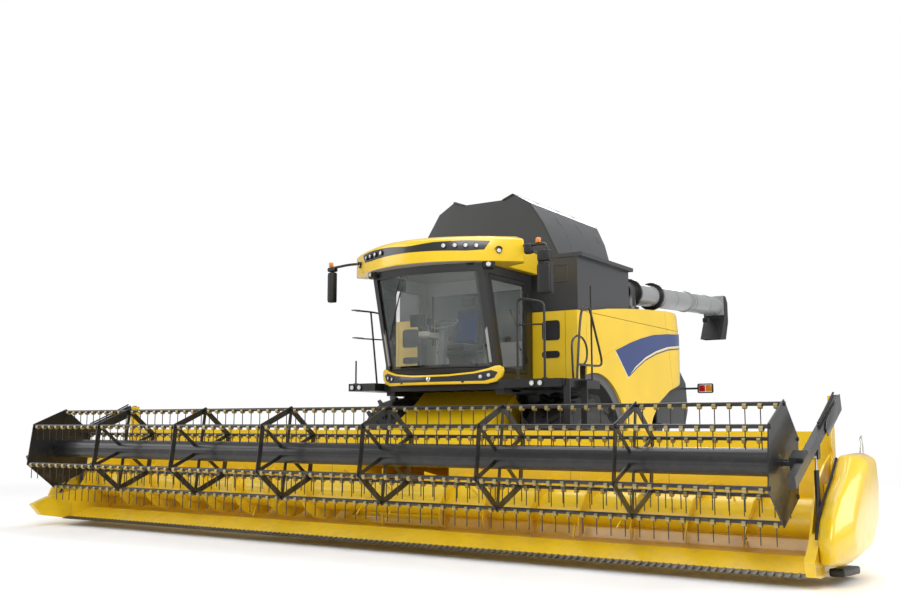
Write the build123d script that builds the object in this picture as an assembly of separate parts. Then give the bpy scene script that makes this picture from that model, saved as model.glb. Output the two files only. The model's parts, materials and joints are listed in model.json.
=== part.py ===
from build123d import *
from math import cos, pi, radians, sin, sqrt
import os

# Walker combine harvester with a wide grain header, in millimetres.
# +Z is up, the machine faces -Y, and its left side is +X. The origin is on the
# ground, in the middle of the whole machine's outline.

# ---- shared clearances -------------------------------------------------------
SEAT = 0.3        # a piece of another body lies this far from what carries it
GAP = 8.0         # open gap round a door, panel or other moving piece

# ---- wheels ------------------------------------------------------------------
FRONT_AXLE_Y = -1390.0
WHEELBASE = 3760.0
REAR_AXLE_Y = FRONT_AXLE_Y + WHEELBASE
FRONT_TYRE_R, FRONT_TYRE_W, FRONT_TYRE_X = 965.0, 710.0, 1370.0
REAR_TYRE_R, REAR_TYRE_W, REAR_TYRE_X = 655.0, 500.0, 1360.0
FRONT_RIM_R, REAR_RIM_R = 432.0, 305.0
LUG_H = 46.0
LUG_LEAN = 42.0   # degrees between a lug and the wheel's axis
FRONT_LUGS, REAR_LUGS = 18, 16   # on each side of a tyre
KINGPIN_X = 1000.0

# ---- cylinders (y, z of their eyes) ------------------------------------------
LIFT_X, LIFT_EYE_R = 560.0, 46.0
LIFT_BASE = (-1640.0, 760.0)      # the barrel's eye, on a bracket of the front axle
LIFT_EYE = (-2880.0, 400.0)       # the rod's eye, under the feeder house
REEL_CYL_BASE = (-4312.0, 450.0)  # the barrel's eye, on the header's side wall
REEL_CYL_EYE = (-4340.0, 1192.0)  # the rod's eye, under a reel arm

# ---- header ------------------------------------------------------------------
CUT_WIDTH = 10670.0
REEL_Y, REEL_Z = -4830.0, 1130.0
REEL_R = 535.0            # centre of the tine bars from the reel's axis
REEL_PHASE = 7.4          # degrees the top bar leans back
WALL_X = CUT_WIDTH / 2    # outer face of the side walls
REEL_END_X = WALL_X - 115.0
SPIDER_X = tuple(REEL_END_X * share for share in (0.1456, 0.4349, 0.7241))
REEL_TUBE_R = 128.0
TINE_BAR_R = 20.0
TINE_LENGTH, TINE_WIDTH = 190.0, 8.0
TINES_PER_BAY = 10
KNIFE_Y, KNIFE_Z = -4530.0, 118.0
GUARD_PITCH = 76.2
AUGER_Y, AUGER_Z = -3880.0, 570.0
AUGER_R, AUGER_TUBE_R = 330.0, 190.0
FLIGHT_PITCH, FLIGHT_IN_X = 600.0, 640.0
FLIGHT_TURNS = int((CUT_WIDTH / 2 - FLIGHT_IN_X - 100) / FLIGHT_PITCH)
TROUGH_R = 375.0
SHEET = 14.0              # sheet with its ribs, as one wall
BACK_Y = -3430.0          # front face of the back sheet
BACK_TOP_Z = 1400.0
WALL = 20.0
ARM_X, ARM_W, ARM_H = WALL_X + 12, 66.0, 110.0      # inner face, width and height of a reel arm
ARM_PIVOT_Y, ARM_PIVOT_Z = -3400.0, 1700.0
SHIELD_X0, SHIELD_X1 = WALL_X + 95, WALL_X + 395
REEL_CYL_X = ARM_X + ARM_W / 2

# ---- feeder house ------------------------------------------------------------
FEEDER_HALF = 790.0
FEEDER_PIVOT_Y, FEEDER_PIVOT_Z = -1730.0, 1900.0

# ---- body --------------------------------------------------------------------
BODY_HALF = 800.0
BODY_FRONT_Y, BODY_REAR_Y = -1570.0, 2770.0
BODY_TOP_Z = 2440.0
PANEL_X, PANEL_T = 1585.0, 40.0
PANEL_FRONT_Y = -1290.0
PANEL_HINGE_Y = (-1100.0, 300.0)
PANEL_AXIS_X, PANEL_AXIS_Z = PANEL_X + PANEL_T / 2, 3040.0
TANK_HALF, TANK_FRONT_Y, TANK_REAR_Y = 1550.0, -1410.0, 420.0
TANK_LOW_Z, TANK_SILL_Z, TANK_TOP_Z = 2500.0, 3070.0, 3900.0
TANK_WALL = 25.0
DECK_Z = 2060.0           # top of the platforms and underside of the cab
CAB_HALF, CAB_REAR_Y, CAB_TOP_Z = 920.0, -1600.0, 3600.0
CAB_WALL = 55.0


# ---- helpers -----------------------------------------------------------------
def block(x0, x1, y0, y1, z0, z1):
    return Pos((x0 + x1) / 2, (y0 + y1) / 2, (z0 + z1) / 2) * Box(x1 - x0, y1 - y0, z1 - z0)


def plate_x(outline, x0, x1):
    """Outline of (y, z) points, from x0 to x1."""
    face = make_face(Polyline(*[(x0, y, z) for y, z in outline], close=True))
    return extrude(face, amount=x1 - x0, dir=(1, 0, 0))


def plate_y(outline, y0, y1):
    """Outline of (x, z) points, from y0 to y1."""
    face = make_face(Polyline(*[(x, y0, z) for x, z in outline], close=True))
    return extrude(face, amount=y1 - y0, dir=(0, 1, 0))


def plate_z(outline, z0, z1):
    """Outline of (x, y) points, from z0 to z1."""
    face = make_face(Polyline(*[(x, y, z0) for x, y in outline], close=True))
    return extrude(face, amount=z1 - z0, dir=(0, 0, 1))


def rod(start, end, radius):
    axis = Vector(*end) - Vector(*start)
    return extrude(Plane(origin=start, z_dir=axis.normalized()) * Circle(radius), amount=axis.length)


def bar(start, end, width, height=None):
    """Square or flat bar between two points."""
    axis = Vector(*end) - Vector(*start)
    side = Vector(1, 0, 0) if abs(axis.normalized().X) < 0.9 else Vector(0, 1, 0)
    section = Plane(origin=start, x_dir=side - axis.normalized() * side.dot(axis.normalized()),
                    z_dir=axis.normalized())
    return extrude(section * Rectangle(width, height or width), amount=axis.length)


def rail(points, width):
    """Handrail through the points, square in section, mitred at its corners."""
    runs = list(zip(points, points[1:]))
    shape = bar(*runs[0], width)
    for start, end in runs[1:]:
        shape += bar(start, end, width)
    for x, y, z in points[1:-1]:
        shape += Pos(x, y, z) * Sphere(width * 0.62)
    return shape


def fused(first, others):
    return Part(first.fuse(*others).wrapped) if others else first


def both_sides(shape):
    return Compound(children=[shape, mirror(shape, about=Plane.YZ)])


def save(name, shape):
    solids = shape.solids()
    export_step(solids[0] if len(solids) == 1 else Compound(children=solids), f"parts/{name}.step")


def spun(profile, x):
    """Profile of (x, radius) points spun about the X axis through the origin, then moved to x."""
    face = make_face(Polyline(*[(px, 0, r) for px, r in profile], close=True))
    return Pos(x, 0, 0) * revolve(face, Axis.X)


# ---- wheels ------------------------------------------------------------------
def lug(radius, width, side):
    """One tread bar, from near the middle line out over the shoulder."""
    lean = radians(LUG_LEAN)
    length = (width / 2 - 4) / cos(lean)
    inner = 15 / cos(lean)

    def height(s, r):
        return sqrt(r * r - (s * sin(lean)) ** 2 - 30 ** 2)

    outline = [
        (inner, height(inner, radius - LUG_H) - 12),
        (inner, height(inner, radius)),
        (length * 0.55, height(length * 0.55, radius)),
        (length * 0.93, height(length * 0.93, radius - 12)),
        (length, height(length, radius - LUG_H - 40)),
        (length * 0.93, height(length * 0.93, radius - LUG_H - 60)),
    ]
    face = make_face(Polyline(*[(s, -27, z) for s, z in outline], close=True))
    shape = extrude(face, amount=54, dir=(0, 1, 0))
    shape = Rot(0, 0, LUG_LEAN) * shape
    return mirror(shape, about=Plane.YZ) if side < 0 else shape


def tyre(radius, width, rim_r, count):
    carcass = radius - LUG_H
    half = width / 2
    profile = [
        (-half * 0.78, rim_r), (-half, (rim_r + carcass) / 2), (-half * 0.86, carcass - 30),
        (-half * 0.5, carcass), (half * 0.5, carcass), (half * 0.86, carcass - 30),
        (half, (rim_r + carcass) / 2), (half * 0.78, rim_r),
    ]
    step = 360 / count
    lugs = [Rot(step * i, 0, 0) * lug(radius, width, 1) for i in range(count)]
    lugs += [Rot(step * (i + 0.5), 0, 0) * lug(radius, width, -1) for i in range(count)]
    return fused(spun(profile, 0), lugs)


def rim(rim_r, width, hub_r, outward):
    """Dished disc wheel, open to the inside where the hub or knuckle sits."""
    half = width / 2 * 0.78
    profile = [
        (-half, rim_r - SEAT), (-half, rim_r - 30), (20, rim_r - 55), (20, hub_r), (50, hub_r), (50, 0),
        (70, 0), (70, hub_r + 20), (40, rim_r - 60), (half, rim_r - 30), (half, rim_r - SEAT),
    ]
    shape = spun(profile, 0)
    return shape if outward > 0 else mirror(shape, about=Plane.YZ)


def make_wheels():
    sizes = [
        # end, tyre radius, tyre width, wheel x, axle y, rim radius, lugs, hub radius
        ("front", FRONT_TYRE_R, FRONT_TYRE_W, FRONT_TYRE_X, FRONT_AXLE_Y, FRONT_RIM_R, FRONT_LUGS, 210),
        ("rear", REAR_TYRE_R, REAR_TYRE_W, REAR_TYRE_X, REAR_AXLE_Y, REAR_RIM_R, REAR_LUGS, 130),
    ]
    for end, radius, width, x, y, rim_r, count, hub_r in sizes:
        tread = tyre(radius, width, rim_r, count)
        for side, sign in (("left", 1), ("right", -1)):
            place = Pos(sign * x, y, radius)
            save(f"{end}_{side}_tyre", place * (tread if sign > 0 else mirror(tread, about=Plane.YZ)))
            save(f"{end}_{side}_rim", place * rim(rim_r, width, hub_r, sign))


# ---- axles -------------------------------------------------------------------
def make_axles():
    # The beam ends in a final drive and a hub flange that seats on the disc of each rim.
    z = FRONT_TYRE_R
    beam = block(-860, 860, FRONT_AXLE_Y - 130, FRONT_AXLE_Y + 130, z - 150, z + 45)
    reach = FRONT_TYRE_X + 50 - SEAT
    hub = rod((832, FRONT_AXLE_Y, z), (1020, FRONT_AXLE_Y, z), 240)
    hub += rod((1020, FRONT_AXLE_Y, z), (reach, FRONT_AXLE_Y, z), 190)
    y0, z0 = LIFT_BASE
    for x in (LIFT_X - 45, LIFT_X + 33):
        ear = plate_x([(y0 - 45, z0 - 45), (y0 - 45, z0 + 45), (FRONT_AXLE_Y - 129, z0 + 120),
                       (FRONT_AXLE_Y - 129, z0 - 20)], x, x + 12)
        hub += ear
    hub += rod((LIFT_X - 45, y0, z0), (LIFT_X + 45, y0, z0), 20)
    save("front_axle", beam + hub + mirror(hub, about=Plane.YZ))

    z = REAR_TYRE_R
    beam = block(-KINGPIN_X, KINGPIN_X, REAR_AXLE_Y - 75, REAR_AXLE_Y + 75, z - 70, z + 90)
    for sign in (1, -1):
        beam += Pos(sign * KINGPIN_X, REAR_AXLE_Y, z + 10) * Cylinder(60, 220)
    for sign in (1, -1):
        beam -= Pos(sign * KINGPIN_X, REAR_AXLE_Y, z + 10) * Cylinder(25 + SEAT, 260)
    beam += block(-260, 260, REAR_AXLE_Y - 110, REAR_AXLE_Y + 70, z + 90, 1420 - SEAT)
    # Drawbar clevis behind the axle, with a vertical pin bore.
    clevis = block(-45, 45, REAR_AXLE_Y + 75, REAR_AXLE_Y + 330, z - 50, z + 50)
    clevis -= block(-60, 60, REAR_AXLE_Y + 190, REAR_AXLE_Y + 340, z - 30, z + 30)
    clevis -= Pos(0, REAR_AXLE_Y + 280, z) * Cylinder(16, 120)
    save("rear_axle", beam + clevis)

    for side, sign in (("left", 1), ("right", -1)):
        yoke = block(KINGPIN_X - 50, KINGPIN_X + 95, REAR_AXLE_Y - 55, REAR_AXLE_Y + 55, z - 140, z + 160)
        yoke -= block(KINGPIN_X - 60, KINGPIN_X + 68, REAR_AXLE_Y - 60, REAR_AXLE_Y + 60,
                      z - 100 - SEAT, z + 120 + SEAT)
        yoke += Pos(KINGPIN_X, REAR_AXLE_Y, z + 10) * Cylinder(25, 290)
        yoke += rod((KINGPIN_X + 90, REAR_AXLE_Y, z), (REAR_TYRE_X + 50 - SEAT, REAR_AXLE_Y, z), 62)
        save(f"rear_{side}_knuckle", yoke if sign > 0 else mirror(yoke, about=Plane.YZ))


# ---- chassis and body --------------------------------------------------------
def make_frame():
    low = [(BODY_FRONT_Y, 1010), (700, 1010), (1400, 1400), (BODY_REAR_Y, 1400),
           (BODY_REAR_Y, 1570 - SEAT), (1320, 1570 - SEAT), (590, 1180 - SEAT), (BODY_FRONT_Y, 1180 - SEAT)]
    shape = None
    for x in (BODY_HALF - 90.0, -BODY_HALF - 0.0):
        side = plate_x(low, x, x + 90)
        shape = side if shape is None else shape + side
    face_y = BODY_FRONT_Y - SEAT
    bracket = [(face_y, 1010), (face_y, 1880 - SEAT), (-1700, 1940 - SEAT), (-1850, 1939), (-1850, 1830), (-1650, 1700), (-1650, 1010)]
    for sign in (1, -1):
        shape += plate_x(bracket, *sorted((sign * (FEEDER_HALF + 5), sign * 829)))
        shape += block(*sorted((sign * (BODY_HALF - 90), sign * 829)), -1650, BODY_FRONT_Y + 1, 1010, 1170)
        shape += rod((sign * 829, FEEDER_PIVOT_Y, FEEDER_PIVOT_Z), (sign * (FEEDER_HALF - 28), FEEDER_PIVOT_Y, FEEDER_PIVOT_Z), 35)
    for y, z in ((BODY_FRONT_Y + 300, 1030), (300, 1030), (2260, 1420)):
        shape += block(-BODY_HALF, BODY_HALF, y, y + 180, z, z + 110)
    save("chassis_frame", shape)


def make_body():
    low = [(BODY_FRONT_Y, 1180), (590, 1180), (1320, 1570), (BODY_REAR_Y, 1570),
           (BODY_REAR_Y, BODY_TOP_Z + 300), (500, BODY_TOP_Z + 300), (460, BODY_TOP_Z),
           (BODY_FRONT_Y, BODY_TOP_Z)]
    save("threshing_body", plate_x(low, -BODY_HALF, BODY_HALF))
    save("engine_block", block(-550, 550, 900, 1900, BODY_TOP_Z + 300, BODY_TOP_Z + 560))


def make_hood():
    # Straw hood: a roof and sides that drop to the chopper, open underneath.
    outer = [(BODY_REAR_Y, 2920), (3500, 2800), (4250, 2250), (4330, 1750), (4150, 1420), (3000, 1500),
             (BODY_REAR_Y, 1500)]
    inner = [(BODY_REAR_Y - 1, 2880), (3490, 2760), (4210, 2235), (4285, 1755), (4100, 1300), (3000, 1300),
             (BODY_REAR_Y - 1, 1300)]
    hood = plate_x(outer, -1050, 1050) - plate_x(inner, -1010, 1010)
    front = BODY_REAR_Y + SEAT
    flange = block(-1030, 1030, front, front + 30, 1570, 2900) - block(-740, 740, front - 1, front + 31, 1500, 2600)
    hood = hood - block(-1100, 1100, BODY_REAR_Y - 10, front, 1400, 3000) + flange
    save("straw_hood", hood)
    chopper = block(-780, 780, 3050, 3700, 1150, 1560)
    chopper += rod((-830, 3330, 1280), (830, 3330, 1280), 150)
    chopper += block(-1009.7, 1009.7, 3250, 3400, 1500, 1560)
    chopper += plate_x([(3650, 1330), (4080, 1050), (4090, 1075), (3660, 1360)], -760, 760)
    save("straw_chopper", chopper)


def make_deck():
    z = TANK_SILL_Z
    deck = block(-1500, 1500, TANK_REAR_Y, 2500, z, z + 60)
    deck += block(-1480, -900, 900, 2300, z + 60, z + 520)
    deck += block(-700, 900, 1000, 2300, z + 60, z + 260)
    deck += rod((-350, 1500, z + 260), (-350, 1500, z + 480), 70)
    deck += block(-1500, 1500, 460, 2460, BODY_TOP_Z + 300, z) - block(-1460, 1460, 500, 2420, BODY_TOP_Z, z + 1)
    x, y = SPOUT_PIVOT_X, SPOUT_PIVOT_Y
    deck += rod((x, y, z + 50), (x, y, 3300), TUBE_R) + rod((x, y, 3240), (x, y, 3300), TUBE_R + 45)
    save("engine_deck", deck)


def make_side_panels():
    outline = [
        (PANEL_FRONT_Y, 3060), (500, 3060), (2450, 2900), (2720, 2560), (2700, 2240), (2300, 1950),
        (1950, 1640), (1650, 1330), (300, 1330), (170, 1700), (-300, 2080), (-800, 2270), (PANEL_FRONT_Y, 2290),
    ]
    for side, sign in (("left", 1), ("right", -1)):
        x0, x1 = sorted((sign * PANEL_X, sign * (PANEL_X + PANEL_T)))
        panel = plate_x(outline, x0, x1)
        x = sign * PANEL_AXIS_X
        for y in PANEL_HINGE_Y:
            panel -= block(x0 - 1, x1 + 1, y, y + 60, PANEL_AXIS_Z - 25, 3061)
            panel += rod((x, y - 1, PANEL_AXIS_Z), (x, y + 61, PANEL_AXIS_Z), 6)
        save(f"side_panel_{side}", panel)


def make_shoulders():
    # Front wall of each side compartment, seated on the threshing body's front corner.
    left = block(CAB_HALF + GAP, PANEL_X + PANEL_T, BODY_FRONT_Y - 20, BODY_FRONT_Y + 40, DECK_Z, 3060)
    left += block(BODY_HALF, CAB_HALF + GAP + 1, BODY_FRONT_Y, BODY_FRONT_Y + 40, DECK_Z, 3060)
    left += block(PANEL_X, PANEL_X + PANEL_T, BODY_FRONT_Y, PANEL_FRONT_Y - GAP, 2290, 3060)
    save("shoulder_panels", both_sides(left))


def make_fenders():
    outer, inner = 1240.0, 1215.0
    start, end = -5.0, 80.0
    ring = []
    for r in (outer, inner):
        steps = [start + (end - start) * i / 6 for i in range(7)]
        arc = [(FRONT_AXLE_Y + r * sin(radians(a)), FRONT_TYRE_R + r * cos(radians(a))) for a in steps]
        ring += arc if r == outer else arc[::-1]
    left = plate_x(ring, BODY_HALF, PANEL_X - GAP)
    save("front_fenders", both_sides(left))


# ---- grain tank --------------------------------------------------------------
def make_tank():
    low = plate_y([(-1200, TANK_LOW_Z), (1200, TANK_LOW_Z), (TANK_HALF - 60, TANK_SILL_Z - 200),
                   (TANK_HALF - 60, TANK_SILL_Z), (TANK_HALF, TANK_SILL_Z), (TANK_HALF, TANK_TOP_Z),
                   (-TANK_HALF, TANK_TOP_Z), (-TANK_HALF, TANK_SILL_Z), (60 - TANK_HALF, TANK_SILL_Z),
                   (60 - TANK_HALF, TANK_SILL_Z - 200)], TANK_FRONT_Y, TANK_REAR_Y)
    inside = plate_y([(-1170, TANK_LOW_Z + 30), (1170, TANK_LOW_Z + 30), (TANK_HALF - 90, TANK_SILL_Z - 180),
                      (TANK_HALF - 90, TANK_SILL_Z + 30), (TANK_HALF - TANK_WALL, TANK_SILL_Z + 60),
                      (TANK_HALF - TANK_WALL, TANK_TOP_Z + 1), (TANK_WALL - TANK_HALF, TANK_TOP_Z + 1),
                      (TANK_WALL - TANK_HALF, TANK_SILL_Z + 60), (90 - TANK_HALF, TANK_SILL_Z + 30),
                      (90 - TANK_HALF, TANK_SILL_Z - 180)], TANK_FRONT_Y + TANK_WALL, TANK_REAR_Y - TANK_WALL)
    tank = low - inside
    for sign in (1, -1):
        x = sign * PANEL_AXIS_X
        for y in PANEL_HINGE_Y:
            # Fixed knuckle of a side panel's hinge.
            arm = block(*sorted((sign * (TANK_HALF - 61), x)), y + 6, y + 54, PANEL_AXIS_Z - 8, PANEL_AXIS_Z + 8)
            arm += rod((x, y + 6, PANEL_AXIS_Z), (x, y + 54, PANEL_AXIS_Z), 11)
            tank += arm - rod((x, y, PANEL_AXIS_Z), (x, y + 60, PANEL_AXIS_Z), 6 + SEAT)
    save("grain_tank", tank)


COVER_T = 22.0
COVER_SECTION = [(1250, TANK_TOP_Z), (1010, 4370), (800, 4700), (510, 4890), (320, 4820)]
COVER_Y0, COVER_Y1 = TANK_FRONT_Y, TANK_REAR_Y + 20


def cover_outline(points, thick):
    inner = [(x - thick, z - thick * 0.4) for x, z in points]
    inner[0] = (points[0][0] - thick * 1.2, points[0][1])
    return points + inner[::-1]


def make_covers():
    left = plate_y(cover_outline(COVER_SECTION, COVER_T), COVER_Y0, COVER_Y1)
    sides = both_sides(left)
    inset = [(x - COVER_T * 1.7 - 6, z) for x, z in COVER_SECTION[:3]] + [(480, 4800)]
    outline = inset + [(-x, z) for x, z in inset[::-1]]
    ends = [plate_y(outline, COVER_Y0, COVER_Y0 + COVER_T), plate_y(outline, COVER_Y1 - COVER_T - 40, COVER_Y1 - 40)]
    save("tank_covers", Compound(children=[s for e in (sides, *ends) for s in e.solids()]))


# ---- unloading auger ---------------------------------------------------------
SPOUT_PIVOT_X, SPOUT_PIVOT_Y = 1330.0, 770.0
TUBE_R, TUBE_Z = 180.0, 3570.0
TUBE_REAR_Y, TUBE_REAR_Z = 5180.0, 3810.0


def make_unloader():
    x, y = SPOUT_PIVOT_X, SPOUT_PIVOT_Y
    elbow = rod((x, y, 3300 + SEAT), (x, y, 3340), TUBE_R + 45) + rod((x, y, 3330), (x, y, TUBE_Z + 60), TUBE_R - 2)
    start, end = (x, y - TUBE_R, TUBE_Z), (x, TUBE_REAR_Y, TUBE_REAR_Z)
    tube = elbow + rod(start, end, TUBE_R)
    run = Vector(*end) - Vector(*start)
    for share in (0.07, 0.28, 0.63):
        p = Vector(*start) + run * share
        q = p + run.normalized() * 50
        tube += rod(tuple(p), tuple(q), TUBE_R + 55 if share < 0.5 else TUBE_R + 14)
    tube += block(x - 200, x + 200, TUBE_REAR_Y - 10, TUBE_REAR_Y + 20 - SEAT, TUBE_REAR_Z - 190, TUBE_REAR_Z + 190)
    save("unloading_tube", tube)
    y0 = TUBE_REAR_Y + 20
    outer = [(y0, TUBE_REAR_Z + 190), (y0, 3560), (y0 - 250, 3140), (y0 + 60, 3140), (y0 + 235, 3500),
             (y0 + 225, 3880), (y0 + 120, TUBE_REAR_Z + 190)]
    inner = [(y0 + 10, TUBE_REAR_Z + 170), (y0 + 10, 3560), (y0 - 240, 3130), (y0 + 50, 3130), (y0 + 223, 3500),
             (y0 + 213, 3870), (y0 + 112, TUBE_REAR_Z + 170)]
    hood = plate_x(outer, x - 205, x + 205) - plate_x(inner, x - 195, x + 195)
    save("unloading_spout", hood)


# ---- cab ---------------------------------------------------------------------
FLOOR_Z0, FLOOR_Z1 = DECK_Z, DECK_Z + 80
SCREEN_LOW_Y, SCREEN_LEAN = -2540.0, 400.0   # corner of the screen at the floor, and how far its top comes forward
SCREEN_BOW = 200.0                            # how far the middle stands ahead of the corners
DOOR_Z0, DOOR_Z1 = 2170.0, 3480.0
DOOR_AXIS = (CAB_HALF + 12, -1764.0)
DOOR_HINGE_Z = (2400.0, 3300.0)


def cab_section(z, inset):
    """Plan of the cab at height z, inset from its outer face."""
    share = (z - FLOOR_Z0) / (CAB_TOP_Z - FLOOR_Z0)
    corner = SCREEN_LOW_Y - SCREEN_LEAN * share + inset
    half, rear = CAB_HALF - inset, CAB_REAR_Y - inset
    edges = [
        Line((-half, rear, z), (half, rear, z)), Line((half, rear, z), (half, corner, z)),
        ThreePointArc((half, corner, z), (0, corner - SCREEN_BOW, z), (-half, corner, z)),
        Line((-half, corner, z), (-half, rear, z)),
    ]
    return make_face(Wire(edges))


def cab_volume(inset, z0, z1):
    return loft([cab_section(z0, inset), cab_section(z1, inset)], ruled=True)


def front_y(z):
    return SCREEN_LOW_Y - SCREEN_LEAN * (z - FLOOR_Z0) / (CAB_TOP_Z - FLOOR_Z0)


def door_outline(shrink):
    z0, z1 = DOOR_Z0 + shrink, DOOR_Z1 - shrink
    front = 95 + shrink
    rear = CAB_REAR_Y - 160 - shrink
    return [(front_y(z0) + front, z0), (rear, z0), (rear, z1), (front_y(z1) + front, z1)]


def make_cab():
    shell = cab_volume(0, FLOOR_Z0, CAB_TOP_Z) - cab_volume(CAB_WALL, FLOOR_Z1, CAB_TOP_Z + 1)
    shell -= block(-CAB_HALF + 90, CAB_HALF - 90, -3400, -2450, 2230, 3500)
    shell -= plate_x(door_outline(0), CAB_HALF - 80, CAB_HALF + 20)
    shell -= plate_x(door_outline(60), -CAB_HALF - 20, -CAB_HALF + 80)
    shell -= block(-CAB_HALF + 150, CAB_HALF - 150, CAB_REAR_Y - 90, CAB_REAR_Y + 20, 2650, 3400)
    for z in DOOR_HINGE_Z:
        for low in (z, z - 70):
            shell += rod((*DOOR_AXIS, low), (*DOOR_AXIS, low + 10), 9)
            shell += block(CAB_HALF + SEAT, CAB_HALF + 18, DOOR_AXIS[1], -1740, low, low + 10)
            shell += block(CAB_HALF - 1, CAB_HALF + 1, -1756, -1740, low, low + 10)
        shell += rod((*DOOR_AXIS, z - 65), (*DOOR_AXIS, z + 5), 6)
    save("cab_shell", shell)
    pane = cab_volume(20, FLOOR_Z1, CAB_TOP_Z - 10) - cab_volume(28, FLOOR_Z1 - 1, CAB_TOP_Z)
    half = CAB_HALF - 90 - SEAT
    screen = pane & block(-half, half, -3400, -2450, 2230 + SEAT, 3500 - SEAT)
    side = plate_x(door_outline(60 + SEAT), -CAB_HALF + 20, -CAB_HALF + 28)
    rear = block(-CAB_HALF + 150 + SEAT, CAB_HALF - 150 - SEAT, CAB_REAR_Y - 30, CAB_REAR_Y - 22, 2650 + SEAT, 3400 - SEAT)
    save("cab_glass", Compound(children=[p.solids()[0] for p in (screen, side, rear)]))
    frame = plate_x(door_outline(GAP), CAB_HALF - 45, CAB_HALF) - plate_x(door_outline(GAP + 60), CAB_HALF - 60, CAB_HALF + 10)
    for z in DOOR_HINGE_Z:
        frame += rod((*DOOR_AXIS, z - 60 + SEAT), (*DOOR_AXIS, z - SEAT), 10)
        frame += block(CAB_HALF - 1, CAB_HALF + 8, -1800, -1768, z - 60 + SEAT, z - SEAT)
        frame -= rod((*DOOR_AXIS, z - 70), (*DOOR_AXIS, z + 10), 6 + SEAT)
    save("cab_door", frame)
    save("cab_door_glass", plate_x(door_outline(GAP + 60 + SEAT), CAB_HALF - 30, CAB_HALF - 22))

    roof = plate_z([(-1380, -2730), (-900, -3080), (-400, -3300), (0, -3350), (400, -3300), (900, -3080), (1380, -2730),
                    (1150, -2600), (1000, CAB_REAR_Y + 40), (-1000, CAB_REAR_Y + 40), (-1150, -2600)],
                   CAB_TOP_Z, CAB_TOP_Z + 310)
    save("cab_roof", roof)

    seat = block(-250, 250, -2200, -1900, FLOOR_Z1, FLOOR_Z1 + 330)
    seat += block(-260, 260, -2330, -1850, FLOOR_Z1 + 330, FLOOR_Z1 + 470)
    seat += plate_x([(-1960, FLOOR_Z1 + 400), (-1840, FLOOR_Z1 + 400), (-1770, FLOOR_Z1 + 1130), (-1860, FLOOR_Z1 + 1130)], -240, 240)
    arm = block(-480, -270, -2350, -1850, FLOOR_Z1 + 560, FLOOR_Z1 + 660) + block(-450, -300, -2100, -1950, FLOOR_Z1, FLOOR_Z1 + 560)
    save("operator_seat", Compound(children=[seat.solids()[0], arm.solids()[0]]))
    column = block(-70, 70, -2630, -2480, FLOOR_Z1, FLOOR_Z1 + 40) + bar((0, -2555, FLOOR_Z1 + 20), (0, -2480, FLOOR_Z1 + 700), 90)
    wheel = Pos(0, -2460, FLOOR_Z1 + 740) * (Rot(25, 0, 0) * (Torus(190, 14) + Cylinder(60, 30) + Box(380, 24, 16) + Box(24, 380, 16)))
    save("steering_console", column + wheel)


def make_bumper():
    z0, z1 = 1990.0, 2220.0
    outer = ThreePointArc((1010, -2620, z0), (0, -2900, z0), (-1010, -2620, z0))
    inner = ThreePointArc((-1000, -2560, z0), (0, -2830, z0), (1000, -2560, z0))
    face = make_face(Wire([outer, Line((-1010, -2620, z0), (-1000, -2560, z0)), inner,
                           Line((1000, -2560, z0), (1010, -2620, z0))]))
    shape = extrude(face, amount=z1 - z0, dir=(0, 0, 1))
    for x in (-520, 480):
        shape += block(x, x + 40, -2780, DECK_FRONT_Y, z0 + 5, DECK_Z - 5)
    save("front_bumper", shape)


# ---- platforms, rails, mirrors -----------------------------------------------
DECK_FRONT_Y = -2550.0
PLATFORM_FRONT_Y, PLATFORM_OUT_X = -2730.0, 1950.0
LADDER_AXIS = (PLATFORM_OUT_X + 16, -2715.0)


def make_platforms():
    rear = BODY_FRONT_Y - 20
    deck = block(-1000, 1000, DECK_FRONT_Y, rear, 1940, DECK_Z)
    deck -= block(-840, 840, -2500, BODY_FRONT_Y, 1900, 2000)
    deck += block(1020, PLATFORM_OUT_X, PLATFORM_FRONT_Y, rear, 1950, DECK_Z)
    deck += block(-1500, -1020, PLATFORM_FRONT_Y, rear, 1950, DECK_Z)
    deck += block(-1021, 1021, -2500, rear, 2001, DECK_Z)
    for sign in (1, -1):
        deck += block(*sorted((sign * 840, sign * 980)), -2500, rear, 1880, 1960)
    x, y = LADDER_AXIS
    for low in (DECK_Z - 94, DECK_Z - 26):
        deck += block(PLATFORM_OUT_X - 1, x, y - 10, y + 10, low, low + 10) + rod((x, y, low), (x, y, low + 10), 10)
    deck += rod((x, y, DECK_Z - 90), (x, y, DECK_Z - 20), 7)
    save("platforms", deck)

    z = DECK_Z
    rear = -1330
    left = [rail([(1270, -2705, z), (1270, -2705, z + 1080), (1700, -2705, z + 1080), (1700, -2705, z)], 32),
            rail([(1925, -2110, z), (1925, -2110, z + 940), (1925, -2000, z + 1000), (1925, rear, z + 280),
                  (1925, -2110, z + 240)], 32)]
    right = [rail([(-1470, -2600, z), (-1470, -2600, z + 1050), (-1470, -1750, z + 1050), (-1470, -1750, z)], 32)]
    save("handrails", Compound(children=[s for r in left + right for s in r.solids()]))


def make_ladder():
    x0, x1 = PLATFORM_OUT_X + 6, PLATFORM_OUT_X + 34
    ladder = None
    for y in (-2700.0, -2200.0):
        side = block(x0, x1 + 60, y, y + 25, 520, DECK_Z - 10)
        ladder = side if ladder is None else ladder + side
    for i in range(5):
        z = 540 + i * 290
        ladder += block(x0, x1 + 110, -2700, -2175, z, z + 35)
    x, y = LADDER_AXIS
    ladder += rod((x, y, DECK_Z - 84 + SEAT), (x, y, DECK_Z - 26 - SEAT), 13)
    ladder += block(x, x0 + 20, y, -2695, DECK_Z - 84 + SEAT, DECK_Z - 26 - SEAT)
    ladder -= rod((x, y, DECK_Z - 90), (x, y, DECK_Z), 7 + SEAT)
    save("access_ladder", ladder)


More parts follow.
